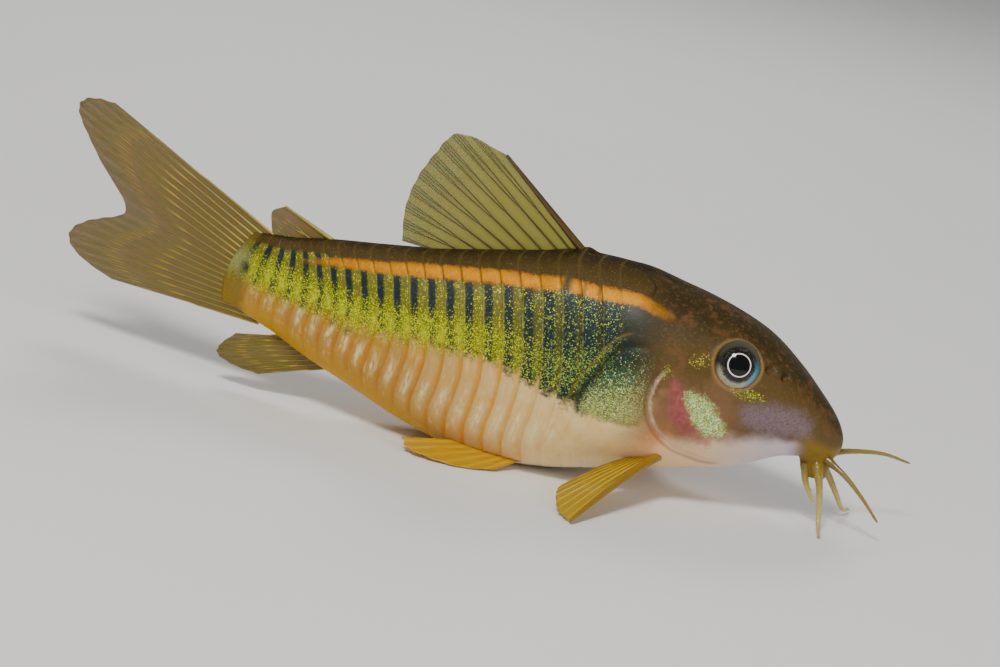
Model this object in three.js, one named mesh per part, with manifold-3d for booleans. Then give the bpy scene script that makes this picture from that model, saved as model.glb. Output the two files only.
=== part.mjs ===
// A corydoras catfish at life size, resting on its belly and its paired fins. Millimetres, +Z up.
// X points to the snout and Y to the fish's left. The origin is the middle of the flat on which
// the belly rests. "Back" is a distance behind the snout, measured along the body.

import * as THREE from 'three';
import { mergeVertices } from 'three/addons/utils/BufferGeometryUtils.js';
import Module from 'manifold-3d';

const wasm = await Module();
wasm.setup();

const degrees = Math.PI / 180;

// Driving dimensions
const BODY_LENGTH = 55;
const REST_BACK = 28;
const JOINT_GAP = 0.3;
const BEND_BACK = 30;
const BEND_ANGLE = 14 * degrees;
const HEAD_CUT = 17.4;
const TAIL_CUT = 44.2;

// Body armour: one upper and one lower row of plates on each side
const PLATES = 22;
const PLATES_START = 20.2;
const FIRST_PLATE = 1.76;
const LAST_PLATE = 1.37;
const PLATE_RISE = 0.3;
const LATERAL_ANGLE = 91;
const LATERAL_GROOVE = 0.14;
const TAIL_ROOT_TILT = 1.05;
const LEAN_START = 12;
const LEAN_END = 46;
const TILT_START = 44;
const TAIL_STUMP = 0.7;
const TAIL_POINT = 0.9;

// Eyes, gill covers and lips
const EYE_RADIUS = 2.3;
const EYE_BACK = 10.5;
const EYE_HEIGHT = 12.95;
const EYE_SUNK = 1.45;
const COVER_RISE = 0.22;
const COVER_DEPTH = 1.0;
const COVER_BLOCK = 8;
const COVER_INSIDE = 2;

// Fins: membrane, ray and spine thicknesses, and how deep a root is sunk before it is cut clear
const MEMBRANE = 0.5;
const RAY = 0.86;
const SPINE = 1.15;
const FIN_EDGE = 0.34;
const ROOT_SUNK = 1.3;

// Key girths: [back, top, bottom, half width, widest level, upper and lower fullness].
// The level is a part of the depth, and a fullness of 2 is an ellipse.
const GIRTHS = [
  [0.0, 7.2, 7.2, 0.0, 0.5, 2.0, 2.0],
  [0.4, 8.6, 6.1, 1.15, 0.5, 2.1, 2.1],
  [1.2, 9.75, 5.6, 1.95, 0.5, 2.2, 2.2],
  [2.6, 11.2, 5.65, 2.9, 0.5, 2.2, 2.3],
  [4.75, 13.2, 5.35, 3.9, 0.52, 2.2, 2.4],
  [8.0, 15.55, 3.95, 5.0, 0.57, 2.2, 2.5],
  [11.3, 16.95, 2.9, 5.8, 0.56, 2.1, 2.6],
  [15.7, 18.2, 2.05, 6.7, 0.49, 2.0, 2.7],
  [20.0, 19.1, 1.15, 7.0, 0.42, 1.95, 2.8],
  [25.3, 19.2, 0.1, 6.9, 0.38, 1.9, 2.8],
  [28.5, 18.5, -0.18, 6.5, 0.38, 1.9, 2.8],
  [33.0, 17.55, 0.08, 5.8, 0.39, 1.9, 2.7],
  [37.8, 16.55, 1.15, 4.9, 0.42, 1.95, 2.5],
  [42.7, 15.8, 2.75, 3.7, 0.46, 2.0, 2.3],
  [47.5, 15.1, 4.3, 2.6, 0.5, 2.0, 2.1],
  [51.0, 14.4, 5.65, 1.9, 0.5, 2.0, 2.0],
  [55.6, 13.95, 7.05, 1.1, 0.5, 2.0, 2.0],
];

// How far a plate's seam runs forward of its station, by the angle from the back's ridge
const SEAM_LEAN = [
  [0, -1.1], [15, -1.5], [50, -0.2], [86, 0.85], [95, 0.65], [116, 0.25], [150, 0.5], [180, 0.6],
];
const RING_ANGLES = [0, 10, 22, 36, 50, 64, 78, 88, 94, 104, 118, 134, 150, 162, 172, 180];

const limit = (value, low, high) => Math.min(high, Math.max(low, value));
const mix = (a, b, part) => a + (b - a) * part;
const smoothStep = (value, from, to) => {
  const part = limit((value - from) / (to - from), 0, 1);
  return part * part * (3 - 2 * part);
};

// A smooth curve through points that never overshoots them
function curveThrough(points) {
  const slope = (from, to) => (to[1] - from[1]) / (to[0] - from[0]);
  const slopes = points.slice(1).map((point, i) => slope(points[i], point));
  const tangents = points.map((_, i) => {
    const before = slopes[Math.max(0, i - 1)];
    const after = slopes[Math.min(slopes.length - 1, i)];
    return before * after <= 0 ? 0 : (2 * before * after) / (before + after);
  });
  return (x) => {
    const last = points.length - 2;
    const i = limit(points.findIndex((point) => point[0] > x) - 1, 0, last);
    const start = x >= points[last][0] ? last : i;
    const width = points[start + 1][0] - points[start][0];
    const t = limit((x - points[start][0]) / width, 0, 1);
    const rise = points[start + 1][1] - points[start][1];
    const a = tangents[start] * width;
    const b = tangents[start + 1] * width;
    return points[start][1] + t * (a + t * (3 * rise - 2 * a - b + t * (a + b - 2 * rise)));
  };
}

// The girths run on the square root of the distance, so that the snout comes out round
const alongBody = (back) => Math.sqrt(limit(back, 0, 60) / BODY_LENGTH);
const girthCurve = (column) => {
  const curve = curveThrough(GIRTHS.map((row) => [alongBody(row[0]), row[column]]));
  return (back) => curve(alongBody(back));
};
const topAt = girthCurve(1);
const bottomAt = girthCurve(2);
const halfWidthAt = girthCurve(3);
const widestAt = girthCurve(4);
const upperFullness = girthCurve(5);
const lowerFullness = girthCurve(6);
const seamLean = curveThrough(SEAM_LEAN);

// The body is straight to BEND_BACK, and from there an arc turns it to the left
const BEND_RADIUS = (BODY_LENGTH - BEND_BACK) / BEND_ANGLE;
function place(back, side, height) {
  const turn = Math.max(0, back - BEND_BACK) / BEND_RADIUS;
  const straight = Math.min(back, BEND_BACK);
  const along = straight + BEND_RADIUS * Math.sin(turn) - side * Math.sin(turn);
  const across = BEND_RADIUS * (1 - Math.cos(turn)) + side * Math.cos(turn);
  return new THREE.Vector3(REST_BACK - along, across, height);
}

// A point of the body's surface at an angle from the back's ridge, from 0 to 180 on each side
function bodyPoint(back, angle, side, grow) {
  const middle = mix(bottomAt(back), topAt(back), widestAt(back));
  const half = Math.max(halfWidthAt(back) + grow, 0.05);
  const above = Math.max(topAt(back) - middle + grow, 0.05);
  const below = Math.max(middle - bottomAt(back) + grow, 0.05);
  const fullness = angle < 90 ? upperFullness(back) : lowerFullness(back);
  const sine = Math.sin(angle * degrees);
  const cosine = Math.cos(angle * degrees);
  const out = half * Math.pow(Math.abs(sine), 2 / fullness);
  const up = Math.pow(Math.abs(cosine), 2 / fullness) * (cosine > 0 ? above : -below);
  return place(back, side * out, middle + up);
}

// How far the body's side stands out at a height
function sideAt(back, height) {
  const middle = mix(bottomAt(back), topAt(back), widestAt(back));
  const reach = height > middle ? topAt(back) - middle : middle - bottomAt(back);
  const fullness = height > middle ? upperFullness(back) : lowerFullness(back);
  const level = Math.abs(height - middle) / reach;
  return halfWidthAt(back) * Math.pow(1 - Math.pow(level, fullness), 1 / fullness);
}

function solidOf(positions, triangles) {
  const geometry = new THREE.BufferGeometry();
  const numbers = positions.flatMap((p) => [p.x, p.y, p.z]);
  geometry.setAttribute('position', new THREE.Float32BufferAttribute(numbers, 3));
  geometry.setIndex(triangles.flat());
  return solidFrom(geometry);
}

function solidFrom(source) {
  const bare = source.clone();
  bare.deleteAttribute('normal');
  bare.deleteAttribute('uv');
  const merged = mergeVertices(bare, 1e-4);
  const vertices = Float32Array.from(merged.attributes.position.array);
  const corners = Uint32Array.from(merged.index.array);
  let volume = 0;
  const corner = (i) => new THREE.Vector3().fromArray(vertices, corners[i] * 3);
  for (let i = 0; i < corners.length; i += 3) {
    volume += corner(i).dot(corner(i + 1).cross(corner(i + 2)));
  }
  if (volume < 0) {
    for (let i = 0; i < corners.length; i += 3) {
      [corners[i + 1], corners[i + 2]] = [corners[i + 2], corners[i + 1]];
    }
  }
  return new wasm.Manifold(new wasm.Mesh({ numProp: 3, vertProperties: vertices, triVerts: corners }));
}

function largest(solid) {
  const pieces = solid.decompose();
  return pieces.reduce((best, piece) => (piece.volume() > best.volume() ? piece : best), pieces[0]);
}

const aboveFloor = (solid) => solid.trimByPlane([0, 0, 1], 0);

// Closed rings from snout to tail root, with a point at each end
function loft(rings, startPoint, endPoint) {
  const count = rings[0].length;
  const positions = rings.flat();
  const triangles = [];
  for (let ring = 0; ring < rings.length - 1; ring += 1) {
    for (let i = 0; i < count; i += 1) {
      const a = ring * count + i;
      const b = ring * count + ((i + 1) % count);
      triangles.push([a, b, b + count], [a, b + count, a + count]);
    }
  }
  const lastRing = (rings.length - 1) * count;
  positions.push(startPoint, endPoint);
  for (let i = 0; i < count; i += 1) {
    const next = (i + 1) % count;
    triangles.push([rings.length * count, next, i]);
    triangles.push([rings.length * count + 1, lastRing + i, lastRing + next]);
  }
  return solidOf(positions, triangles);
}

// Stations along the body: close together at the snout, then three to each plate
const HEAD_STATIONS = 17;
const PLATE_STEPS = [[0, -0.35], [0.5, 0.2], [0.93, 0.65]];
function bodyStations() {
  const stations = [];
  const headEnd = alongBody(PLATES_START - 1.2);
  for (let i = 1; i <= HEAD_STATIONS; i += 1) {
    stations.push({ back: BODY_LENGTH * (headEnd * i / HEAD_STATIONS) ** 2, rise: 0 });
  }
  let start = PLATES_START;
  for (let plate = 0; plate < PLATES; plate += 1) {
    const length = mix(FIRST_PLATE, LAST_PLATE, plate / (PLATES - 1));
    for (const [part, rise] of PLATE_STEPS) {
      stations.push({ back: start + part * length, rise: rise * PLATE_RISE });
    }
    start += length;
  }
  stations.push({ back: start + TAIL_STUMP, rise: 0 });
  return stations;
}

// The plates leave the ridge of the back and the middle of the belly smooth
function plateRise(angle, rise) {
  const fade = smoothStep(angle, 5, 16) * (1 - smoothStep(angle, 160, 174));
  const groove = Math.abs(angle - LATERAL_ANGLE) < 5 ? LATERAL_GROOVE : 0;
  return fade * (rise - groove);
}

function bodyRing(station, grow, armoured) {
  const start = smoothStep(station.back, LEAN_START, PLATES_START + 2);
  const end = 1 - smoothStep(station.back, LEAN_END, BODY_LENGTH);
  const tilt = TAIL_ROOT_TILT * smoothStep(station.back, TILT_START, BODY_LENGTH);
  const pointAt = (angle, side) => {
    const lean = seamLean(angle) * start * end + tilt * Math.cos(angle * degrees);
    const rise = armoured && station.back >= PLATES_START ? plateRise(angle, station.rise) : 0;
    return bodyPoint(station.back - lean, angle, side, grow + rise);
  };
  const right = RING_ANGLES.map((angle) => pointAt(angle, -1));
  const left = RING_ANGLES.slice(1, -1).reverse().map((angle) => pointAt(angle, 1));
  return [...right, ...left];
}

function bodySolid(grow, armoured) {
  const rings = bodyStations().map((station) => bodyRing(station, grow, armoured));
  const tailHeight = (topAt(BODY_LENGTH) + bottomAt(BODY_LENGTH)) / 2;
  const last = rings.length - 1;
  if (grow > 0) {
    rings[last].forEach((point) => { point.x -= grow; });
  }
  const snoutPoint = place(-Math.max(grow, 0), 0, GIRTHS[0][1]);
  const tailPoint = place(BODY_LENGTH + TAIL_POINT + grow, 0, tailHeight);
  return loft(rings, snoutPoint, tailPoint);
}

// An ellipsoid at a place on the body
function lump(back, side, height, radii, grow = 0, around = 12) {
  const form = new THREE.SphereGeometry(1, around, Math.round(around * 0.7));
  form.scale(...radii.map((radius) => radius + grow));
  const centre = place(back, side, height);
  form.translate(centre.x, centre.y, centre.z);
  return solidFrom(form);
}

// The mouth looks down: a full upper lip, a lower lip with two lobes, and the slit between them
const LIPS = [
  [1.25, 0, 5.55, [0.95, 1.75, 1.2]],
  [2.75, 0.75, 5.2, [1.0, 0.95, 1.0]],
  [2.75, -0.75, 5.2, [1.0, 0.95, 1.0]],
];
const lips = (grow) => LIPS.map((lip) => lump(...lip, grow));

const MOUTH_HALF_WIDTH = 1.55;
const MOUTH_DEPTH = 0.3;
const MOUTH_ROUNDNESS = 0.62;
const MOUTH_BACK = 1.95;
const MOUTH_HEIGHT = 4.1;
const MOUTH_TILT = 8 * degrees;
function mouthSlit() {
  const slit = new THREE.CylinderGeometry(MOUTH_HALF_WIDTH, MOUTH_HALF_WIDTH, MOUTH_DEPTH, 20);
  slit.scale(MOUTH_ROUNDNESS, 1, 1);
  slit.rotateX(Math.PI / 2);
  slit.rotateY(MOUTH_TILT);
  slit.rotateZ(Math.PI / 2);
  const centre = place(MOUTH_BACK, 0, MOUTH_HEIGHT);
  slit.translate(centre.x, centre.y, centre.z);
  return solidFrom(slit);
}

// Each side has two nostrils, one before the other, on a low mound with a pit
const NOSTRILS = [[6.1, 12.75, 0.42], [7.6, 13.3, 0.38]];
const NOSTRIL_RIM = 0.42;
function nostrils(side) {
  return NOSTRILS.map(([back, height, radius]) => {
    const out = sideAt(back, height);
    const round = radius + NOSTRIL_RIM;
    const rim = lump(back, side * out, height, [round, round - 0.12, round], 0, 9);
    const pit = lump(back, side * (out + NOSTRIL_RIM), height + 0.15, [radius, 0.8, radius], 0, 7);
    return { rim, pit };
  });
}

function eyeSphere(side, grow) {
  const out = sideAt(EYE_BACK, EYE_HEIGHT) - EYE_SUNK;
  const ball = new THREE.SphereGeometry(EYE_RADIUS + grow, 18, 12);
  const centre = place(EYE_BACK, side * out, EYE_HEIGHT);
  ball.translate(centre.x, centre.y, centre.z);
  return solidFrom(ball);
}

// The gill cover's outline, as [back, height] round its edge
const COVER_OUTLINE = [
  [9.5, 9.4], [12.6, 10.9], [14.5, 12.3], [16.1, 11.4], [16.7, 9.2],
  [15.8, 6.6], [13.4, 4.9], [10.6, 4.7], [9.0, 6.9],
];
function coverBlock(side, grow) {
  const centre = new THREE.Vector2();
  const corners = COVER_OUTLINE.map(([back, height]) => new THREE.Vector2(REST_BACK - back, height));
  corners.forEach((corner) => centre.add(corner));
  centre.divideScalar(corners.length);
  const spread = corners.map((corner) => {
    const out = corner.clone().sub(centre);
    return out.setLength(out.length() + grow).add(centre);
  });
  const outline = new THREE.SplineCurve([...spread, spread[0]]).getPoints(22).slice(0, -1);
  const form = { depth: COVER_BLOCK, bevelEnabled: false, steps: 1 };
  const block = new THREE.ExtrudeGeometry(new THREE.Shape(outline), form);
  block.rotateX(Math.PI / 2);
  block.translate(0, side > 0 ? COVER_BLOCK + COVER_INSIDE : -COVER_INSIDE, 0);
  return solidFrom(block);
}

// A fin: a sheet that is thick along its rays, with both faces split into triangles alike
function finSheet({ rays, rows, root, edge, spine = 0, sag = 0 }) {
  const columns = rays * 2;
  const middle = (u, v) => {
    const point = new THREE.Vector3().lerpVectors(root(u), edge(u), v);
    point.z += sag * Math.sin(Math.PI * v);
    return point;
  };
  const step = 0.01;
  const across = (u, v) => {
    const alongU = middle(Math.min(u + step, 1), v).sub(middle(Math.max(u - step, 0), v));
    const alongV = middle(u, Math.min(v + step, 1)).sub(middle(u, Math.max(v - step, 0)));
    return alongU.cross(alongV).normalize();
  };
  const thickness = (i, v) => {
    if (i === 0 && spine > 0) {
      return mix(spine, MEMBRANE, v ** 3);
    }
    return i % 2 === 0 ? mix(RAY, MEMBRANE, v ** 3) : mix(MEMBRANE, FIN_EDGE, v ** 3);
  };
  const positions = [];
  for (const side of [1, -1]) {
    for (let j = 0; j <= rows; j += 1) {
      for (let i = 0; i <= columns; i += 1) {
        const [u, v] = [i / columns, j / rows];
        positions.push(middle(u, v).addScaledVector(across(u, v), side * thickness(i, v) / 2));
      }
    }
  }
  const face = (columns + 1) * (rows + 1);
  const at = (i, j) => j * (columns + 1) + i;
  const triangles = [];
  const quad = (a, b, c, d) => triangles.push([a, b, c], [a, c, d]);
  for (let j = 0; j < rows; j += 1) {
    for (let i = 0; i < columns; i += 1) {
      const corners = [at(i, j), at(i + 1, j), at(i + 1, j + 1), at(i, j + 1)];
      quad(...corners);
      const [a, b, c, d] = corners.map((corner) => corner + face);
      triangles.push([a, c, b], [a, d, c]);
    }
  }
  const rim = [];
  for (let i = 0; i < columns; i += 1) {
    rim.push(at(i, 0));
  }
  for (let j = 0; j < rows; j += 1) {
    rim.push(at(columns, j));
  }
  for (let i = columns; i > 0; i -= 1) {
    rim.push(at(i, rows));
  }
  for (let j = rows; j > 0; j -= 1) {
    rim.push(at(0, j));
  }
  rim.forEach((a, i) => {
    const b = rim[(i + 1) % rim.length];
    quad(a, a + face, b + face, b);
  });
  return solidOf(positions, triangles);
}

// A curve through a few [back, side, height] places, run from 0 to 1
function edgeCurve(places, mirror = 1) {
  const curve = new THREE.CatmullRomCurve3(places.map(([back, side, height]) => (
    new THREE.Vector3(REST_BACK - back, mirror * side, height))), false, 'centripetal');
  return (u) => curve.getPoint(u);
}

const ridge = (from, to, sunk) => (u) => {
  const back = mix(from, to, u);
  return place(back, 0, topAt(back) - sunk);
};
const keel = (from, to, sunk) => (u) => {
  const back = mix(from, to, u);
  return place(back, 0, bottomAt(back) + sunk);
};

const DORSAL = {
  rays: 9,
  rows: 7,
  spine: SPINE,
  root: ridge(24.0, 34.9, ROOT_SUNK),
  edge: edgeCurve([
    [33.3, 0, 25.9], [37.8, 0.05, 27.0], [39.3, 0.1, 24.9],
    [40.6, 0.2, 22.2], [41.1, 0.3, 19.4], [40.8, 0.3, 16.6],
  ]),
};
const ADIPOSE = {
  rays: 3,
  rows: 4,
  spine: RAY,
  root: ridge(45.3, 51.6, ROOT_SUNK),
  edge: edgeCurve([[51.8, 2.5, 16.9], [52.9, 2.7, 16.2], [52.8, 2.6, 15.2], [52.5, 2.55, 14.3]]),
};
const ANAL = {
  rays: 7,
  rows: 6,
  root: keel(43.9, 48.6, ROOT_SUNK),
  edge: edgeCurve([
    [51.5, 1.65, 1.7], [54.0, 2.0, 1.9], [55.6, 2.3, 2.6], [55.5, 2.4, 3.4], [54.3, 2.5, 4.7],
  ]),
};

// The tail fin's root is an arc round the end of the body, and each lobe has half of it
const CAUDAL_ROOT = { back: 55.0, bow: 2.4, top: 14.2, bottom: 6.0 };
const caudalRoot = (from, to) => (u) => {
  const part = mix(from, to, u);
  const back = CAUDAL_ROOT.back - CAUDAL_ROOT.bow * (2 * part - 1) ** 2;
  return place(back, 0, mix(CAUDAL_ROOT.top, CAUDAL_ROOT.bottom, part));
};
const CAUDAL_UPPER = {
  rays: 7,
  rows: 9,
  root: caudalRoot(0.0, 0.47),
  edge: edgeCurve([
    [69.3, 6.8, 21.9], [71.6, 7.6, 22.0], [73.0, 8.2, 21.2], [72.6, 8.2, 19.8],
    [71.2, 7.9, 18.0], [69.6, 7.6, 15.6], [66.3, 6.9, 12.8],
  ]),
};
const CAUDAL_LOWER = {
  rays: 7,
  rows: 9,
  root: caudalRoot(0.53, 1.0),
  edge: edgeCurve([
    [66.3, 7.0, 12.0], [68.4, 7.8, 11.4], [70.6, 8.7, 10.5], [72.5, 9.6, 9.1],
    [72.3, 9.6, 7.8], [70.4, 9.1, 6.6], [67.4, 8.2, 5.7],
  ]),
};
const pectoral = (side) => ({
  rays: 9,
  rows: 7,
  spine: SPINE,
  root: edgeCurve([[14.6, 4.4, 4.6], [16.9, 4.8, 3.6]], side),
  edge: edgeCurve([
    [20.9, 16.4, 0.15], [22.2, 14.4, 0.35], [22.7, 12.0, 0.8], [22.6, 10.3, 1.2], [21.8, 8.6, 1.6],
  ], side),
  sag: 0.3,
});
const pelvic = (side) => ({
  rays: 6,
  rows: 6,
  root: edgeCurve([[25.4, 2.9, 1.3], [28.2, 2.6, 1.7]], side),
  edge: edgeCurve([
    [28.6, 6.6, 0.15], [31.2, 7.6, 0.15], [34.0, 7.6, 0.2], [36.3, 6.8, 0.5], [37.1, 5.7, 1.1],
  ], side),
});

// A barbel: a round, tapered feeler along a curve
const BARBEL_SIDES = 7;
const BARBEL_TIP = 0.36;
function barbel(places, rootDiameter) {
  const curve = new THREE.CatmullRomCurve3(places.map(([back, side, height]) => (
    new THREE.Vector3(REST_BACK - back, side, height))), false, 'centripetal');
  const steps = Math.round(curve.getLength() / 0.8);
  const frames = curve.computeFrenetFrames(steps, false);
  const rings = [];
  for (let i = 0; i <= steps; i += 1) {
    const radius = mix(rootDiameter, BARBEL_TIP, (i / steps) ** 0.8) / 2;
    const centre = curve.getPointAt(i / steps);
    const ring = [];
    for (let k = 0; k < BARBEL_SIDES; k += 1) {
      const angle = 2 * Math.PI * k / BARBEL_SIDES;
      ring.push(centre.clone()
        .addScaledVector(frames.normals[i], radius * Math.cos(angle))
        .addScaledVector(frames.binormals[i], radius * Math.sin(angle)));
    }
    rings.push(ring);
  }
  const tip = curve.getPointAt(1).addScaledVector(curve.getTangentAt(1), BARBEL_TIP / 2);
  return loft(rings, curve.getPointAt(0), tip);
}

const BARBELS = {
  barbel_long_right: [
    [[1.9, -1.0, 5.4], [1.3, -2.1, 3.9], [0.9, -2.7, 2.1], [0.7, -3.5, 0.75], [0.5, -5.4, 0.35]], 0.85,
  ],
  barbel_long_left: [
    [[1.9, 1.0, 5.4], [0.6, 2.0, 3.8], [-0.5, 2.3, 2.1], [-1.3, 2.9, 0.75], [-2.0, 4.5, 0.35]], 0.85,
  ],
  barbel_front_right: [[[1.2, -1.0, 5.9], [-0.6, -2.0, 5.1], [-2.5, -2.6, 3.6], [-4.2, -3.0, 1.9]], 0.7],
  barbel_front_left: [[[1.2, 1.0, 5.9], [-1.0, 2.2, 6.2], [-3.8, 3.6, 6.2], [-6.3, 5.0, 5.5]], 0.7],
  barbel_lip_right: [[[2.8, -0.8, 5.2], [2.4, -1.0, 3.5], [1.8, -1.1, 2.4], [1.4, -1.1, 1.9]], 0.75],
  barbel_lip_left: [[[2.8, 0.8, 5.2], [2.6, 1.1, 3.5], [2.2, 1.5, 2.5], [1.7, 1.8, 2.0]], 0.75],
};

const COLOURS = {
  head: 0x7a6a45,
  gill: 0xa8a070,
  torso: 0x8c7a55,
  tail: 0x6f6a48,
  eye: 0x171717,
  fin: 0xb9a65a,
  pectoral: 0xd89a3a,
  pelvic: 0xe09a30,
  barbel: 0xc9bd86,
};

const fish = new THREE.Group();
function addPart(name, solid, colour, roughness = 0.45) {
  const { vertProperties, triVerts, numProp } = largest(solid).getMesh();
  const geometry = new THREE.BufferGeometry();
  const positions = [];
  for (let i = 0; i < vertProperties.length; i += numProp) {
    positions.push(vertProperties[i], vertProperties[i + 1], vertProperties[i + 2]);
  }
  geometry.setAttribute('position', new THREE.Float32BufferAttribute(positions, 3));
  geometry.setIndex(Array.from(triVerts));
  geometry.computeVertexNormals();
  const material = new THREE.MeshStandardMaterial({ color: colour, roughness, metalness: 0 });
  const mesh = new THREE.Mesh(geometry, material);
  mesh.name = name;
  fish.add(mesh);
}

// The planes that part head from torso and torso from tail stand square to the body
function parted(solid, back, keepFront) {
  const here = place(back + (keepFront ? -JOINT_GAP / 2 : JOINT_GAP / 2), 0, 0);
  const ahead = here.clone().sub(place(back + 1, 0, 0)).normalize();
  const normal = keepFront ? ahead : ahead.negate();
  return solid.trimByPlane([normal.x, normal.y, 0], normal.x * here.x + normal.y * here.y);
}

const sides = [['right', -1], ['left', 1]];

let body = bodySolid(0, true);
lips(0).forEach((lip) => { body = body.add(lip); });
body = body.subtract(mouthSlit());
const coverFloor = bodySolid(-COVER_DEPTH - JOINT_GAP, false);
for (const [, side] of sides) {
  nostrils(side).forEach(({ rim, pit }) => { body = body.add(rim).subtract(pit); });
  body = body.subtract(coverBlock(side, JOINT_GAP).subtract(coverFloor));
  body = body.subtract(eyeSphere(side, JOINT_GAP));
}
body = aboveFloor(body);

addPart('head', parted(body, HEAD_CUT, true), COLOURS.head);
addPart('torso', parted(parted(body, HEAD_CUT, false), TAIL_CUT, true), COLOURS.torso);
addPart('tail', parted(body, TAIL_CUT, false), COLOURS.tail);

const coverOuter = bodySolid(COVER_RISE, false);
const coverInner = bodySolid(-COVER_DEPTH, false);
for (const [name, side] of sides) {
  addPart(`eye_${name}`, eyeSphere(side, 0), COLOURS.eye, 0.1);
  const cover = coverBlock(side, 0).intersect(coverOuter).subtract(coverInner);
  addPart(`gill_cover_${name}`, cover, COLOURS.gill);
}

let clearance = bodySolid(JOINT_GAP, false);
lips(JOINT_GAP).forEach((lip) => { clearance = clearance.add(lip); });
const rooted = (solid) => aboveFloor(solid.subtract(clearance));

addPart('fin_dorsal', rooted(finSheet(DORSAL)), COLOURS.fin);
addPart('fin_adipose', rooted(finSheet(ADIPOSE)), COLOURS.fin);
addPart('fin_anal', rooted(finSheet(ANAL)), COLOURS.fin);
addPart('fin_tail_upper', rooted(finSheet(CAUDAL_UPPER)), COLOURS.fin);
addPart('fin_tail_lower', rooted(finSheet(CAUDAL_LOWER)), COLOURS.fin);
for (const [name, side] of sides) {
  addPart(`fin_pectoral_${name}`, rooted(finSheet(pectoral(side))), COLOURS.pectoral);
  addPart(`fin_pelvic_${name}`, rooted(finSheet(pelvic(side))), COLOURS.pelvic);
}
for (const [name, [places, diameter]] of Object.entries(BARBELS)) {
  addPart(name, rooted(barbel(places, diameter)), COLOURS.barbel);
}

export default fish;
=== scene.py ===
"""A corydoras catfish at life size: one plated skin, ridged fins, barbels and eyes.

Shapes are worked out in millimetres and become metres when a mesh is made. X points to the
snout, Y to the fish's left, Z up. "Back" is a distance behind the snout along the body, and an
"angle" runs round the body from the ridge of the back, 0 degrees, to the belly, 180 degrees.
"""

import math

import bpy
import numpy as np
from mathutils import Matrix, Vector

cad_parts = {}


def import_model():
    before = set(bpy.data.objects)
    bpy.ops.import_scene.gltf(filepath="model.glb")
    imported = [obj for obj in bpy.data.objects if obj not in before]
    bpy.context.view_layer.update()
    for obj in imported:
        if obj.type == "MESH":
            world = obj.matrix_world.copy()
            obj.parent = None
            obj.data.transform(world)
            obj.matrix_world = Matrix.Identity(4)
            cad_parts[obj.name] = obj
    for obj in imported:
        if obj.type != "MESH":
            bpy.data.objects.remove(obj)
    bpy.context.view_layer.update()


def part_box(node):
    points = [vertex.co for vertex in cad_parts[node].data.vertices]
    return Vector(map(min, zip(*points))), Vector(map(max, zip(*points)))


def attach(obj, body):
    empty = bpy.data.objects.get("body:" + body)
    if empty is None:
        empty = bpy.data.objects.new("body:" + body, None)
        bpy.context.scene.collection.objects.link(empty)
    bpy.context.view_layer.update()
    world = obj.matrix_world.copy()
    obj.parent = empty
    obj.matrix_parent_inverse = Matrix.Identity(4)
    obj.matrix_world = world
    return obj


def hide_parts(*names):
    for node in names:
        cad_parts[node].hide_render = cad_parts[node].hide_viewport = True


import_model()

MM = 0.001
BODY_LENGTH = 55.0
REST_BACK = 28.0
BEND_BACK = 30.0
TAIL_BEND = math.radians(14)
BEND_RADIUS = (BODY_LENGTH - BEND_BACK) / TAIL_BEND
PLATES = 22
PLATES_START = 20.2
FIRST_PLATE = 1.76
LAST_PLATE = 1.37
TAIL_ROOT_TILT = 1.05
EYE_BACK = 10.5
EYE_HEIGHT = 12.95
EYE_SUNK = 1.45
RIGHT, LEFT = -1, 1

# Key girths: back, top, bottom, half width, widest level, upper and lower fullness
GIRTHS = np.array([
    [0.0, 7.2, 7.2, 0.0, 0.5, 2.0, 2.0],
    [0.4, 8.6, 6.1, 1.15, 0.5, 2.1, 2.1],
    [1.2, 9.75, 5.6, 1.95, 0.5, 2.2, 2.2],
    [2.6, 11.2, 5.65, 2.9, 0.5, 2.2, 2.3],
    [4.75, 13.2, 5.35, 3.9, 0.52, 2.2, 2.4],
    [8.0, 15.55, 3.95, 5.0, 0.57, 2.2, 2.5],
    [11.3, 16.95, 2.9, 5.8, 0.56, 2.1, 2.6],
    [15.7, 18.2, 2.05, 6.7, 0.49, 2.0, 2.7],
    [20.0, 19.1, 1.15, 7.0, 0.42, 1.95, 2.8],
    [25.3, 19.2, 0.1, 6.9, 0.38, 1.9, 2.8],
    [28.5, 18.5, -0.18, 6.5, 0.38, 1.9, 2.8],
    [33.0, 17.55, 0.08, 5.8, 0.39, 1.9, 2.7],
    [37.8, 16.55, 1.15, 4.9, 0.42, 1.95, 2.5],
    [42.7, 15.8, 2.75, 3.7, 0.46, 2.0, 2.3],
    [47.5, 15.1, 4.3, 2.6, 0.5, 2.0, 2.1],
    [51.0, 14.4, 5.65, 1.9, 0.5, 2.0, 2.0],
    [55.6, 13.95, 7.05, 1.1, 0.5, 2.0, 2.0],
])
SEAM_LEAN = [(0, -1.1), (15, -1.5), (50, -0.2), (86, 0.85), (95, 0.65), (116, 0.25), (150, 0.5), (180, 0.6)]


def smooth_step(value, start, end):
    part = np.clip((np.asarray(value, float) - start) / (end - start), 0, 1)
    return part * part * (3 - 2 * part)


def bump(value, middle, width):
    return np.exp(-((np.asarray(value, float) - middle) / width) ** 2)


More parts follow.
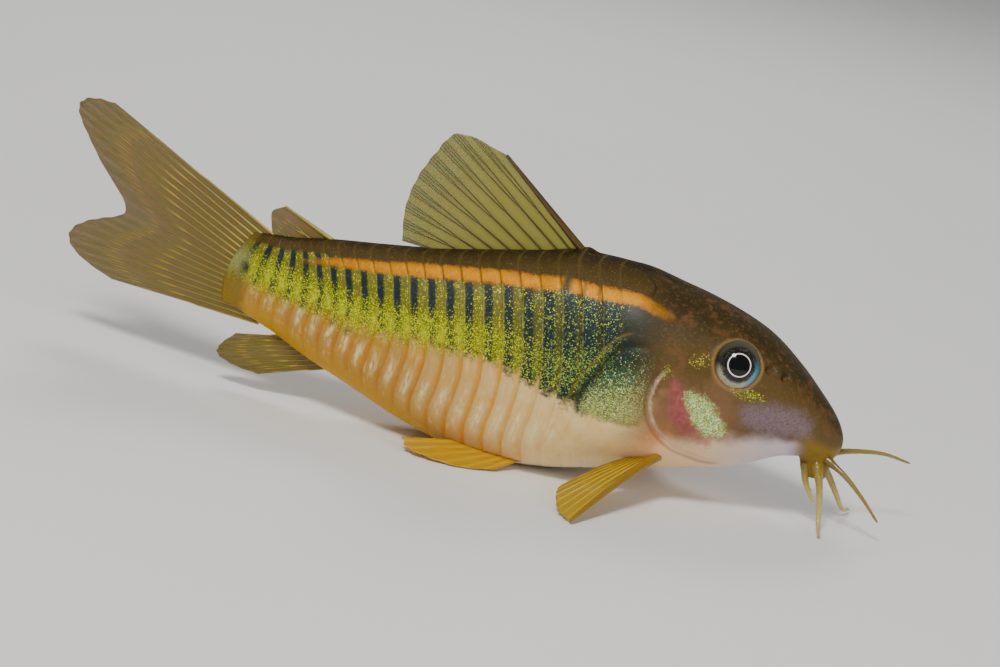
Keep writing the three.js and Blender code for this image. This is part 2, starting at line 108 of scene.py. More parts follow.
def curve_through(points):
    """A smooth curve through points that never overshoots them."""
    x, y = np.array(points, float).T
    slopes = np.diff(y) / np.diff(x)
    before = np.concatenate([slopes[:1], slopes])
    after = np.concatenate([slopes, slopes[-1:]])
    product = before * after
    total = np.where(product > 0, before + after, 1)
    tangents = np.where(product > 0, 2 * product / total, 0)

    def curve(at):
        i = np.clip(np.searchsorted(x, at, side="right") - 1, 0, len(x) - 2)
        width = x[i + 1] - x[i]
        t = np.clip((at - x[i]) / width, 0, 1)
        rise = y[i + 1] - y[i]
        a = tangents[i] * width
        b = tangents[i + 1] * width
        return y[i] + t * (a + t * (3 * rise - 2 * a - b + t * (a + b - 2 * rise)))

    return curve


# The girths run on the square root of the distance, so that the snout comes out round
def girth_curve(column):
    curve = curve_through([(math.sqrt(row[0] / BODY_LENGTH), row[column]) for row in GIRTHS])
    return lambda back: curve(np.sqrt(np.clip(back, 0, 60) / BODY_LENGTH))


top_at, bottom_at, half_width_at, widest_at, upper_fullness, lower_fullness = (
    girth_curve(column) for column in range(1, 7))
seam_lean = curve_through(SEAM_LEAN)


def place(back, side, height):
    """A point of the body's frame: straight to BEND_BACK, then an arc to the left."""
    back, side, height = np.broadcast_arrays(*(np.asarray(v, float) for v in (back, side, height)))
    turn = np.maximum(0, back - BEND_BACK) / BEND_RADIUS
    along = np.minimum(back, BEND_BACK) + (BEND_RADIUS - side) * np.sin(turn)
    across = BEND_RADIUS - (BEND_RADIUS - side) * np.cos(turn)
    return np.stack([REST_BACK - along, across, height], -1)


def body_surface(back, angle):
    """The smooth body at an angle, which is negative on the right side."""
    middle = bottom_at(back) + (top_at(back) - bottom_at(back)) * widest_at(back)
    turned = np.radians(np.abs(angle))
    upper = np.abs(angle) < 90
    power = 2 / np.where(upper, upper_fullness(back), lower_fullness(back))
    out = half_width_at(back) * np.abs(np.sin(turned)) ** power
    reach = np.where(upper, top_at(back) - middle, bottom_at(back) - middle)
    return place(back, out * np.sign(angle), middle + reach * np.abs(np.cos(turned)) ** power)


def side_at(back, height):
    middle = bottom_at(back) + (top_at(back) - bottom_at(back)) * widest_at(back)
    reach = top_at(back) - middle if height > middle else middle - bottom_at(back)
    fullness = upper_fullness(back) if height > middle else lower_fullness(back)
    return float(half_width_at(back) * (1 - (abs(height - middle) / reach) ** fullness) ** (1 / fullness))


def spline(points, closed=False, count=60):
    """A centripetal curve through points, as many points along it as asked."""
    points = np.array(points, float)
    if closed:
        points = np.concatenate([points[-1:], points, points[:2]])
    else:
        before = 2 * points[0] - points[1]
        after = 2 * points[-1] - points[-2]
        points = np.concatenate([[before], points, [after]])
    spans = len(points) - 3
    result = []
    for at in np.linspace(0, spans, count, endpoint=not closed):
        span = min(int(at), spans - 1)
        result.append(spline_point(points[span:span + 4], at - span))
    return np.array(result)


def spline_point(corners, part):
    """A point between the middle two of four corners."""
    steps = np.sqrt(np.linalg.norm(np.diff(corners, axis=0), axis=1)) + 1e-9
    knots = np.concatenate([[0], np.cumsum(steps)])
    at = knots[1] + part * (knots[2] - knots[1])

    def blend(first, second, start, end):
        return (first * (knots[end] - at) + second * (at - knots[start])) / (knots[end] - knots[start])

    ones = [blend(corners[k], corners[k + 1], k, k + 1) for k in range(3)]
    twos = [blend(ones[k], ones[k + 1], k, k + 2) for k in range(2)]
    return blend(*twos, 1, 2)


def rounded(points, reach=9, passes=3):
    """Softens the corners of a curve and keeps its ends."""
    window = 2 * reach + 1
    for _ in range(passes):
        before = 2 * points[0] - points[reach:0:-1]
        after = 2 * points[-1] - points[-2:-reach - 2:-1]
        start = np.zeros((1, points.shape[1]))
        total = np.cumsum(np.concatenate([start, before, points, after]), axis=0)
        points = (total[window:] - total[:-window]) / window
    return points


def inside_distance(x, y, outline):
    """Distance to a closed outline, negative inside."""
    x, y = np.asarray(x, float), np.asarray(y, float)
    nearest = np.full(x.shape, 1e9)
    inside = np.zeros(x.shape, bool)
    for (ax, ay), (bx, by) in zip(outline, np.roll(outline, -1, axis=0)):
        dx, dy = bx - ax, by - ay
        t = np.clip(((x - ax) * dx + (y - ay) * dy) / (dx * dx + dy * dy + 1e-12), 0, 1)
        nearest = np.minimum(nearest, np.hypot(x - ax - t * dx, y - ay - t * dy))
        crosses = (ay > y) != (by > y)
        rise = by - ay if abs(by - ay) > 1e-12 else 1e-12
        inside ^= crosses & (x < ax + (y - ay) * dx / rise)
    return np.where(inside, -nearest, nearest)


# Materials

# The picture softens strong colours, so paints are mixed richer than they will look
RICHNESS = 1.15


def paint(code):
    """A colour as seen in the picture, in the renderer's linear values."""
    parts = [int(code[i:i + 2], 16) / 255 for i in (1, 3, 5)]
    linear = [c / 12.92 if c <= 0.04045 else ((c + 0.055) / 1.055) ** 2.4 for c in parts]
    grey = 0.21 * linear[0] + 0.72 * linear[1] + 0.07 * linear[2]
    return (*[min(1, max(0, grey + (c - grey) * RICHNESS)) for c in linear], 1.0)


def operator(operation):
    return lambda value, *others: value.nodes.maths(operation, value, *others)


class Value:
    """A node's output that takes part in arithmetic."""

    def __init__(self, nodes, socket):
        self.nodes = nodes
        self.socket = socket

    __add__ = __radd__ = operator("ADD")
    __sub__ = operator("SUBTRACT")
    __mul__ = __rmul__ = operator("MULTIPLY")
    least = operator("MINIMUM")
    most = operator("MAXIMUM")
    part = operator("FRACT")
    size = operator("ABSOLUTE")

    def __rsub__(self, other):
        return self.nodes.maths("SUBTRACT", other, self)

    def from_to(self, start, end):
        """0 at start, 1 at end, smoothly."""
        ends = {"Value": self, "From Min": start, "From Max": end}
        return self.nodes.node("ShaderNodeMapRange", {"interpolation_type": "SMOOTHSTEP"}, ends)

    def near(self, middle, width):
        """1 at the middle, falling to 0 at the width to each side."""
        return (self - middle).size().from_to(width, 0)


class Nodes:
    """Adds nodes to a tree."""

    def __init__(self, tree):
        self.tree = tree

    def node(self, kind, settings=None, inputs=None, output=0):
        made = self.tree.nodes.new(kind)
        for name, value in (settings or {}).items():
            setattr(made, name, value)
        for name, value in (inputs or {}).items():
            self.feed(made.inputs[name], value)
        return Value(self, made.outputs[output])

    def feed(self, socket, value):
        """Links a value to a socket, or sets a number, a name or a colour's code on it."""
        if isinstance(value, Value):
            self.tree.links.new(value.socket, socket)
        else:
            socket.default_value = paint(value) if str(value).startswith("#") else value

    def maths(self, operation, *values):
        return self.node("ShaderNodeMath", {"operation": operation}, dict(enumerate(values)))


class Finish(Nodes):
    """A procedural material, built up from nodes."""

    def __init__(self, name):
        self.material = bpy.data.materials.new(name)
        self.material.use_nodes = True
        super().__init__(self.material.node_tree)
        self.shader = self.tree.nodes["Principled BSDF"]

    def set(self, **values):
        for name, value in values.items():
            self.feed(self.shader.inputs[name.replace("_", " ")], value)

    def stored(self, name):
        """The three numbers that a mesh stores under a name."""
        vector = self.node("ShaderNodeAttribute", {"attribute_name": name}, output="Vector")
        return [self.node("ShaderNodeSeparateXYZ", None, {0: vector}, i) for i in range(3)]

    def millimetres(self):
        point = self.node("ShaderNodeTexCoord", output="Object")
        return self.node("ShaderNodeVectorMath", {"operation": "SCALE"}, {0: point, "Scale": 1 / MM})

    def vector(self, x, y, z):
        return self.node("ShaderNodeCombineXYZ", None, {0: x, 1: y, 2: z})

    def noise(self, point, scale, detail=2.0, stretch=None):
        """Smooth noise that swings round 0."""
        if stretch:
            point = self.node("ShaderNodeVectorMath", {"operation": "MULTIPLY"}, {0: point, 1: stretch})
        inputs = {"Vector": point, "Scale": scale, "Detail": detail}
        return self.node("ShaderNodeTexNoise", None, inputs) - 0.5

    def cells(self, point, scale):
        """Three random numbers for each cell of a pattern of small cells."""
        colour = self.node("ShaderNodeTexVoronoi", None, {"Vector": point, "Scale": scale}, "Color")
        return [self.node("ShaderNodeSeparateColor", None, {0: colour}, i) for i in range(3)]

    def glints(self, cell, share):
        """The share of the cells that shine."""
        return (cell + share - 1).from_to(0.0, 0.14)

    def mix(self, factor, first, second):
        """A colour between two. The Mix node's sockets share names, so they go by number."""
        return self.node("ShaderNodeMix", {"data_type": "RGBA"}, {0: factor, 6: first, 7: second}, 2)

    def layers(self, base, *coats):
        """Colours laid over a base, each with its mask."""
        for mask, colour in coats:
            base = self.mix(mask, base, colour)
        return base

    def moist(self, coat, coat_roughness, inner_light):
        """A wet coat over soft flesh."""
        self.set(Coat_Weight=coat, Coat_Roughness=coat_roughness, Subsurface_Weight=inner_light)
        self.set(Subsurface_Scale=0.0008)

    def relief(self, height, depth):
        inputs = {"Strength": 1.0, "Distance": depth * MM, "Height": height}
        self.set(Normal=self.node("ShaderNodeBump", None, inputs, "Normal"))


class SkinFinish(Finish):
    """What every layer of the skin reads, and the colour that is laid so far."""

    def __init__(self):
        super().__init__("catfish_skin")
        self.back, self.angle, self.plate = self.stored("body_map")
        self.stripe, self.bar_edge, self.glitter = self.stored("flank_marks")
        self.cover, self.shoulder, self.snout = self.stored("head_marks")
        self.green, self.red, self.eye = self.stored("cheek_marks")
        self.free_edge = self.stored("edge_marks")[0]
        self.point = self.millimetres()
        self.soft, self.clump, self.grain, self.fine = (
            self.noise(self.point, scale, detail)
            for scale, detail in ((0.55, 3), (1.5, 2), (3.4, 3), (9.0, 2)))
        threads = self.vector(self.plate * 5, self.angle * 0.09, self.back * 0.1)
        self.fibre = self.noise(threads, 1.0, 3)
        # Random cells for grains and glitter specks; the whitest specks are painted highlights.
        self.dust, self.dust_hue, self.dust_tone = self.cells(self.point, 13.0)
        self.along = self.plate.part()
        self.trunk = self.back.from_to(19.4, 21.0)
        self.head = 1 - (self.back + self.soft * 2).from_to(15.5, 20.0)
        self.rear = self.back.from_to(26, 38)
        seam = (1 - self.along.from_to(0.02, 0.16) + self.along.from_to(0.9, 0.98)).least(1)
        self.seam = seam * self.trunk * self.plate.from_to(0.0, 0.05)
        self.colour = None

    def lay(self, mask, colour):
        self.colour = self.mix(mask, self.colour, colour)


def lay_back(f):
    """The back, darkest along its ridge, with brassy grains."""
    f.colour = f.mix(f.angle.from_to(2, 30) + f.soft * 0.6, "#21180b", "#4a3a1a")
    f.lay(f.glints(f.dust, 0.12 + f.clump * 0.4) * 0.7, "#75652f")
    f.lay(f.seam * 0.4, "#6b5a34")


def lay_upper_flank(f):
    """Dark blue-grey bars at the rear of each plate, with a pale line behind each."""
    back, along, grain = f.back, f.along, f.grain
    flank = (f.angle + f.soft * 8 + grain * 6).from_to(34, 42)
    wide = 1 - back.from_to(21, 32)
    front = (along + grain * 0.22 + wide * 0.22).from_to(0.38, 0.6)
    bar = front * (1 - (along - wide * 0.1).from_to(0.78, 0.95)) * f.trunk
    pale = along.near(0.965, 0.07) * (grain + f.soft + 0.55).from_to(0.3, 0.7) * f.trunk
    f.lay(flank, f.layers(
        f.mix(f.clump + 0.5, "#5d5a26", "#857c35"),
        (1 - back.from_to(21, 33), "#2b2d1e"),
        ((bar * 1.3 + grain * 0.5).least(1), "#1d2a2b"),
        ((grain + 0.5).from_to(0.5, 0.75) * 0.35, "#55645c"),
        (pale * (0.75 - (1 - back.from_to(20, 26)) * 0.5), "#a3966c")))
    return flank, bar


def lay_lower_flank(f):
    """Pink cream plates, with orange seams that turn yellow towards the keel."""
    back, angle, along, fibre = f.back, f.angle, f.along, f.fibre
    lower = (f.bar_edge + f.grain * 1.3 + f.clump * 0.9 + along.near(0.0, 0.4) * 0.5).from_to(-0.4, 0.5)
    amber = (1 - along.from_to(0.05, 0.36) + along.from_to(0.86, 1.0)).least(1)
    amber = amber * back.from_to(22, 31) * (f.soft + f.clump + fibre + 0.8)
    keel = angle.from_to(128, 160) * (1 - back.from_to(28, 34))
    f.lay(lower, f.layers(
        f.mix(back.from_to(20, 42) + f.soft * 0.5 + fibre * 0.5, "#f2d7a2", "#b58a48"),
        ((fibre + f.soft * 0.6).from_to(0.02, 0.3) * 0.5, "#fbe6c2"),
        ((0 - fibre).from_to(0.05, 0.3) * 0.4, "#c98f3c"),
        (amber.least(1) * 0.9, f.mix(f.rear, "#dc9c34", "#b87600")),
        ((f.soft + f.clump * 0.4).from_to(-0.1, 0.35) * 0.45, "#e4ac4c"),
        (angle.from_to(116, 140) * back.from_to(30, 38), "#c59604"),
        (keel * 0.8, "#f3e0c6")))
    return lower


def lay_pearl_highlights_and_spots(f):
    """Painted pearly highlights on the upper ends of the lower plates, and dark spots above the rear ones."""
    pearl_highlight = f.along.near(0.52, 0.3) * f.angle.from_to(90, 100) * (1 - f.angle.from_to(104, 124))
    pearl_highlight = pearl_highlight * f.back.from_to(22, 27) * (1 - f.back.from_to(48, 52))
    streak = f.noise(f.point, 2.0, 2, (2.4, 2.4, 0.6))
    # Painted highlight: pearly streaks where the plates' upper ends catch the light.
    f.lay((pearl_highlight * (0.7 + f.fibre * 4 + streak * 2.4 + f.grain) * 0.8).least(0.8), "#f6e9b4")
    spots = f.along.near(0.58, 0.3) * f.angle.near(93, 6)
    f.lay(spots * f.back.from_to(41, 44) * (1 - f.back.from_to(50.5, 52)) * 0.85, "#1f2c2c")


def lay_glitter(f, flank, bar, lower):
    """Glitter on the mid flank, yellow-green towards the tail and sparser in front; its sparks are partly
    painted glints.
    """
    rear, clump, mottled = f.rear, f.clump, f.clump + f.grain
    field = (1 - (f.glitter.size() + clump * 0.9).from_to(0.3, 1.9)) * f.trunk
    f.lay(field * (0.1 + rear * 0.55) * (1 - bar * 0.65), f.mix(mottled + 0.5, "#4f5c18", "#a8a624"))
    beads = field * f.along.near(0.12, 0.3) * f.glitter.near(0.1, 0.6) * rear
    f.lay(beads * (0.5 + clump * 1.5).most(0.1), "#dde03a")
    f.lay((f.fibre + clump).from_to(0.1, 0.4) * field * rear * 0.7, "#3c4426")
    scatter = (1 - bar * rear * 0.8) * flank * (1 - lower) * f.trunk * 0.17
    # The sparks: the glitter's own colours, partly painted glints.
    spark = f.glints(f.dust, field * (0.2 + rear * 0.22) + scatter + mottled * 0.3)
    spark = spark * (field + scatter * 3).from_to(0.02, 0.2)
    teal = f.mix(f.dust_hue, "#3f8f6c", "#cfd048")
    gold = f.mix(f.dust_hue, "#94a61c", "#f1f060")
    f.lay(spark, f.mix(f.back.from_to(22, 32), teal, gold))
    return spark


def lay_stripe(f):
    """The orange stripe, crossed by dark bands under the dorsal spine."""
    edge = f.stripe + f.grain * 0.6 + f.fine * 0.4 + f.seam * 0.1
    stripe = (1 - edge.from_to(-0.22, 0.14)) * (1 - (f.back + f.soft * 2).from_to(46.0, 49.5))
    gaps = f.back.near(25.75, 0.75) + f.back.near(24.2, 0.35) * 0.5 + f.back.near(22.9, 0.3) * 0.45
    stripe = stripe * (1 - gaps.least(1)) * (1 - f.seam * 0.3)
    f.lay(stripe, f.mix((0 - f.stripe) * 0.9 + f.grain + f.clump + 0.1, "#ac7000", "#d49600"))
    return stripe


def lay_shoulder(f):
    """The shoulder plate: green glitter over dark skin, with painted highlight specks and a dark band above
    it.
    """
    angle, off = f.angle, f.shoulder
    shoulder = 1 - (off + f.grain * 0.8 + f.clump * 0.5).from_to(-0.4, 0.35)
    f.lay(off.near(0.5, 0.55) * (1 - angle.from_to(88, 95)) * f.back.from_to(17.2, 18.5) * 0.8, "#1c231d")
    f.lay(off.near(1.2, 0.22) * (1 - angle.from_to(90, 97)) * f.back.from_to(19, 20) * 0.4, "#8a6f36")
    f.lay(shoulder * 0.9, f.mix(angle.from_to(68, 98), "#1f2a20", "#77794a"))
    # Glitter specks in green and yellow; the palest of them are painted highlights.
    shine = f.glints(f.dust, 0.14 + angle.from_to(66, 96) * 0.5 + (f.clump + f.grain) * 0.4) * shoulder
    f.lay(shine, f.layers(
        "#3f9070",
        ((f.dust_hue + angle.from_to(70, 96) - 0.5).from_to(0.3, 0.6), "#bccb7c"),
        (f.dust_tone.from_to(0.8, 0.9), "#fbf4cc")))
    return shine


def lay_head(f):
    """The head: brown above, pinkish cheek, mauve snout, pale chin and olive lips."""
    back, angle, soft, clump, grain = f.back, f.angle, f.soft, f.clump, f.grain
    cheek = (angle + soft * 30 + clump * 12).from_to(72, 98) * back.from_to(7.5, 11.5)
    lines = f.noise(f.point, 4.6, 1).size().from_to(0.01, 0.06)
    chin = (angle + soft * 16).from_to(108, 124) * back.from_to(2.5, 5.0)
    flush = (back.near(16.0, 3.0) * angle.near(118, 22) * (clump + 0.9)).least(1)
    f.lay(f.head, f.layers(
        f.mix((angle + soft * 24).from_to(26, 74), "#33280f", "#5d4a2b"),
        ((grain + 0.5).from_to(0.5, 0.72) * 0.4, "#7b6138"),
        ((clump + soft).from_to(0.0, 0.3) * 0.4, "#7d5237"),
        (cheek * 0.7, "#8f6a50"),
        ((1 - (f.snout + grain * 1.2 + clump).from_to(-0.9, 0.7)) * 0.85, f.mix(lines, "#6b5853", "#85727a")),
        (chin, f.mix(back.from_to(5, 13), "#d6c8cf", "#f0cfa8")),
        (flush * 0.6, "#ec9f6c"),
        ((1 - back.from_to(2.6, 4.4)) * angle.from_to(88, 118) * 0.9, "#8d7231")))
    f.lay(flush * (1 - f.head) * 0.5, "#ec9f6c")
    nape = (back - 18.3 - (27 - angle) * (27 - angle) * 0.0075).near(0.0, 0.22) * angle.near(22, 16)
    f.lay(nape * 0.6, "#150d06")
    return lines, nape


def lay_gill_cover(f):
    """The gill cover: cream rear edge, painted shadow behind it, red gill showing, and a bright glittering
    patch with painted highlights.
    """
    back, angle, clump, mottled = f.back, f.angle, f.clump, f.clump + f.grain
    rim = (1 - (f.cover - 0.02 + f.grain * 0.3).size().from_to(0.03, 0.26)) * f.free_edge
    f.lay(rim * (0.5 + clump * 1.4).most(0.1), "#eccbb0")
    # Painted shadow: darker brown just behind the raised free edge of the gill cover.
    f.lay(f.cover.near(0.5, 0.25) * f.free_edge * 0.45, "#5c3a24")
    blush = 1 - (f.red + f.grain * 0.9 + clump * 0.4).from_to(-0.35, 0.5)
    f.lay(blush * (0.7 + f.fibre + clump), f.mix(mottled + 0.5, "#7a2c2e", "#b8676c"))
    patch = 1 - (f.green + f.grain * 1.1 + clump * 0.9).from_to(-0.3, 0.35)
    f.lay(patch * 0.8, f.mix(mottled + 0.5, "#8f9646", "#c2c77e"))
    # The glittering patch's specks; the whitest of them are painted highlights.
    f.lay(patch * f.glints(f.dust, 0.55 + f.grain), f.layers(
        "#f6fbb0",
        (f.dust_hue.from_to(0.55, 0.65), "#8ade9a"),
        (f.dust_tone.from_to(0.8, 0.9), "#ffffff")))
    glow = (back.near(8.9, 2.8) * angle.near(86, 7)).most(back.near(13.4, 1.6) * angle.near(68, 10) * 0.7)
    glow = glow.most(back.near(15.9, 0.9) * angle.near(77, 7)) * (mottled + 0.75)
    olive = f.mix(f.dust_hue.from_to(0.5, 0.8), "#7c7f2a", "#d3d76a")
    f.lay(f.glints(f.dust, glow * 0.8) * glow.from_to(0.1, 0.3), olive)
    return patch


def lay_orbit_and_tail_root(f):
    """The rim of the orbit, and the pale root of the tail with its dark spot."""
    f.lay(f.eye.near(2.16, 0.26) * 0.4, "#b3925f")
    root = (f.back + f.clump).from_to(53.4, 54.8)
    f.lay(root * 0.75, f.mix(f.angle.near(76, 34) + f.grain, "#6e5f22", "#8d8d68"))
    f.lay((f.back + f.clump * 0.8).near(54.3, 0.8) * f.angle.near(82, 15) * 0.9, "#0e0f0a")


def skin_finish():
    """Brown back, orange stripe, barred and glittering flank, pink-cream belly, marked head."""
    f = SkinFinish()
    lay_back(f)
    flank, bar = lay_upper_flank(f)
    lower = lay_lower_flank(f)
    lay_pearl_highlights_and_spots(f)
    spark = lay_glitter(f, flank, bar, lower)
    stripe = lay_stripe(f)
    shine = lay_shoulder(f)
    lines, nape = lay_head(f)
    patch = lay_gill_cover(f)
    lay_orbit_and_tail_root(f)
    metal = (spark + shine + patch * 0.6).least(1)
    f.set(
        Base_Color=f.colour,
        Metallic=metal * 0.3 + stripe * 0.5,
        Roughness=0.5 - metal * 0.1 + f.grain * 0.2,
        Coat_Weight=0.13 - f.trunk * 0.08,
        Coat_Roughness=0.28,
        Subsurface_Weight=0.08,
        Subsurface_Radius=(1.0, 0.5, 0.35),
        Subsurface_Scale=0.0005,
        Specular_IOR_Level=0.2,
    )
    pits = f.cells(f.point, 8.5)[2] * 0.3
    f.relief(f.grain * 0.6 + f.fine * 0.45 + pits + lines * f.head * 0.15 - nape * 0.8, 0.06)
    return f.material


def fin_finish(name, membrane, tip, glow, alpha):
    """Thin skin between rays: clearer between them and towards the margin."""
    f = Finish(name)
    ray, out, _ = f.stored("fin_map")
    point = f.millimetres()
    cloud = f.noise(point, 0.7, 3)
    grain = f.noise(point, 4.0, 2)
    off_ray = (ray.part() - 0.5).size() * 2
    veins = f.noise(point, 2.2, 1).size().from_to(0.0, 0.03)
    f.set(
        Base_Color=f.layers(
            f.mix(out.from_to(0.45, 1.0) + cloud * 0.4, membrane, tip),
            (off_ray.from_to(0.2, 0.9) * 0.45, glow),
            ((1 - veins) * 0.18, glow)),
        Roughness=0.38 + grain * 0.15,
        Alpha=(alpha + (1 - out) * 0.2 + cloud * 0.12).least(1),
    )
    f.moist(0.3, 0.2, 0.25)
    f.relief(grain + veins * 0.3, 0.03)
    return f.material


def ray_finish(name, root, middle, joints):
    """Bony rays, darker in their middle, with close cross joints."""
    f = Finish(name)
    along, thick, _ = f.stored("ray_map")
    grain = f.noise(f.millimetres(), 5.0, 2)
    joint = (along * 34).part().near(0.5, 0.18) * along.from_to(0.25, 0.4) * thick.from_to(0.2, 0.14)
    colour = f.mix((along + grain * 0.3).from_to(0.0, 0.5), root, middle)
    f.set(Base_Color=f.mix(joint * 0.55, colour, joints), Roughness=0.4 + grain * 0.15)
    f.moist(0.35, 0.18, 0.2)
    f.relief(grain - joint, 0.03)
    return f.material


def barbel_finish(name, root, tip):
    """Soft skin, paler towards the tip, with brown grains."""
    f = Finish(name)
    along = f.stored("ray_map")[0]
    grain = f.noise(f.millimetres(), 6.0, 2)
    colour = f.mix((along + grain * 0.5).from_to(0.0, 0.6), root, tip)
    grains = (grain + 0.5).from_to(0.55, 0.72) * 0.5
    f.set(Base_Color=f.mix(grains, colour, "#66552a"), Roughness=0.35 + grain * 0.1)
    f.moist(0.5, 0.15, 0.3)
    f.relief(grain, 0.04)
    return f.material


def eye_finish():
    """Black pupil in a thin bright ring, a dark iris, and a pale rim below. The ring also glows a little, as
    painted glow.
    """
    f = Finish("catfish_eye")
    off, rise, front = f.stored("eye_map")
    point = f.millimetres()
    grain = f.noise(point, 7.0, 3)
    fleck = f.cells(point, 9.0)[0]
    edge = off + grain * 0.3
    rim = edge.from_to(1.38, 1.62) * (0 - rise).from_to(-0.1, 0.75)
    blue = edge.from_to(1.3, 1.6) * front.from_to(0.35, 0.8) * (1 - rise.from_to(0.0, 0.6))
    ring = off.near(0.97, 0.085).from_to(0.15, 0.6)
    f.set(
        Base_Color=f.layers(
            f.mix((grain + 0.5).from_to(0.4, 0.8), "#0d0c0f", "#2a2226"),
            (off.near(1.38, 0.25) * fleck.from_to(0.5, 0.8) * 0.5, "#5d5a4c"),
            (rim * 0.55, f.mix(fleck, "#cfc9a0", "#f0f0d8")),
            (blue * 0.7, "#3f93a8"),
            (edge.from_to(1.45, 1.7) * rise.from_to(-0.2, 0.5) * 0.7, "#4b4a38"),
            (1 - off.from_to(0.86, 0.92), "#020203"),
            (ring, "#f6e6de")),
        Roughness=0.12,
        Coat_Weight=1.0,
        Coat_Roughness=0.02,
        Coat_IOR=1.35,
        Specular_IOR_Level=0.15,
        # Painted glow: the ring gives off a little light of its own.
        Emission_Color=f.mix(ring, "#000000", "#f6e6de"),
        Emission_Strength=0.12,
    )
    return f.material


def floor_finish():
    f = Finish("pale_floor")
    cloud = f.noise(f.millimetres(), 0.02, 3)
    f.set(Base_Color=f.mix(cloud + 0.5, "#efeeeb", "#f4f3f0"), Roughness=0.6)
    return f.material


# Meshes

def make_piece(name, points, faces, material, stored=None, slot=None, replaced=()):
    """A mesh from points in millimetres, with what it stores at them. With a slot it rides on the fish."""
    mesh = bpy.data.meshes.new(name)
    mesh.from_pydata((np.asarray(points) * MM).tolist(), [], faces)
    for label, values in (stored or {}).items():
        layer = mesh.attributes.new(label, "FLOAT_VECTOR", "POINT")
        layer.data.foreach_set("vector", np.asarray(values, np.float32).ravel())
    mesh.materials.append(material)
    mesh.polygons.foreach_set("use_smooth", [True] * len(mesh.polygons))
    mesh.update()
    piece = bpy.data.objects.new(name, mesh)
    bpy.context.scene.collection.objects.link(piece)
    if slot:
        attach(piece, "root")
        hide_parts(*replaced)
    return piece


def grid_faces(rows, columns, closed, offset=0, flip=False):
    faces = []
    for j in range(rows - 1):
        for i in range(columns if closed else columns - 1):
            a = offset + j * columns + i
            b = offset + j * columns + (i + 1) % columns
            face = (a, b, b + columns, a + columns)
            faces.append(face[::-1] if flip else face)
    return faces


# The skin

HEAD_RINGS = 140
AROUND = 240
PLATE_PARTS = (0.0, 0.04, 0.14, 0.28, 0.42, 0.56, 0.7, 0.82, 0.92, 0.98)
LEAN_START, LEAN_END, TILT_START = 12, 46, 44
TAIL_POINT, TAIL_POINT_START = 0.9, 52
TAIL_THINNING, THINNING_START, THINNING_END = 0.72, 52.2, BODY_LENGTH + 0.3

# Rises and grooves of the relief
PLATE_RISE, PLATE_GROOVE, PLATE_LIP = 0.055, 0.045, 0.02
LOWER_SOFTNESS = 0.45
LATERAL_ANGLE, LATERAL_WAVE, LATERAL_GROOVE = 91, 2.5, 0.05
COVER_RISE, COVER_GROOVE, COVER_CREASE = 0.17, 0.22, 0.07
SHOULDER_RISE, SHOULDER_GROOVE = 0.07, 0.08
NAPE_BACK, NAPE_ANGLE, NAPE_CURVE, NAPE_GROOVE = 18.3, 27, 0.0075, 0.1
CROWN_FURROW = 0.12
NOSTRIL_RIM, NOSTRIL_DEPTH = 0.13, 0.45
MOUTH_BACK, MOUTH_LENGTH, MOUTH_WIDTH = 1.95, 1.55, 1.75
LIP_DROOP, MOUTH_DEPTH, LIP_NOTCH, LIP_ROLL, LIP_CREASE = 1.7, 1.2, 0.25, 0.16, 0.1
ORBIT_RIM, ORBIT_RADIUS, ORBIT_DEPTH = 0.14, 2.12, 1.25

# Lumps: where along and how long, where across and how wide, and how high
PECTORAL_LUMP = (15.3, 1.5), (4.3, 1.2), 0.45
NOSTRIL_FLAP = (6.85, 0.2), (13.1, 0.26), 0.4
SPINE_BASE = (23.6, 0.7), (0.0, 7.0), 0.35

# Outlines of the head's parts and markings: back and height
GILL_COVER = [
    (9.6, 9.3), (12.4, 10.9), (14.5, 12.3), (16.2, 11.5), (16.75, 9.2), (15.9, 7.0), (13.4, 5.3),
    (10.4, 4.6), (9.1, 6.6)]
GREEN_PATCH = [(13.9, 10.5), (12.6, 10.3), (10.9, 8.7), (10.1, 7.3), (11.4, 6.9), (13.3, 8.6)]
RED_PATCH = [(15.2, 11.3), (14.3, 10.6), (13.3, 8.3), (11.5, 6.6), (11.2, 6.0), (13.2, 6.7), (14.9, 8.4)]
SHOULDER = [(17.3, 13.0), (19.4, 13.0), (21.1, 10.6), (22.4, 7.4), (20.3, 6.7), (17.2, 6.9), (16.9, 9.6)]
SNOUT_PATCH = [
    (9.2, 9.9), (7.4, 10.5), (5.1, 10.4), (3.2, 9.5), (3.0, 8.0), (4.6, 7.6), (6.5, 7.7), (8.7, 8.3)]

# Levels of the flank's markings, as angles by back, and half the stripe's width
STRIPE_MIDDLE = [
    (15, 44.0), (16.5, 43.0), (20.2, 37.5), (22.2, 37.6), (25, 36.2), (28.2, 34.5), (31.5, 32.4),
    (34.8, 32.1), (38.3, 33.5), (41.8, 38.5), (44.7, 41.5), (47.2, 47), (49, 50)]
STRIPE_HALF = [
    (15.4, 0), (16.2, 0.5), (18.5, 0.62), (26, 0.66), (38, 0.72), (44, 0.5), (48.5, 0.22), (50, 0)]
BAR_BOTTOM = [
    (14, 70), (16.5, 94), (19, 98), (21.5, 95), (24.5, 89), (26.5, 85), (29, 79), (32, 75), (36, 75),
    (40, 80), (44, 86), (48, 92), (52, 96), (56, 98)]
GLITTER_MIDDLE = [
    (20, 70), (24.7, 77), (27.5, 72), (30.5, 68), (35, 69), (40, 75), (44, 81), (48, 81.5), (56, 82)]

# Nostrils: back, height and size
NOSTRILS = [(6.1, 12.75, 0.42), (7.6, 13.3, 0.38)]


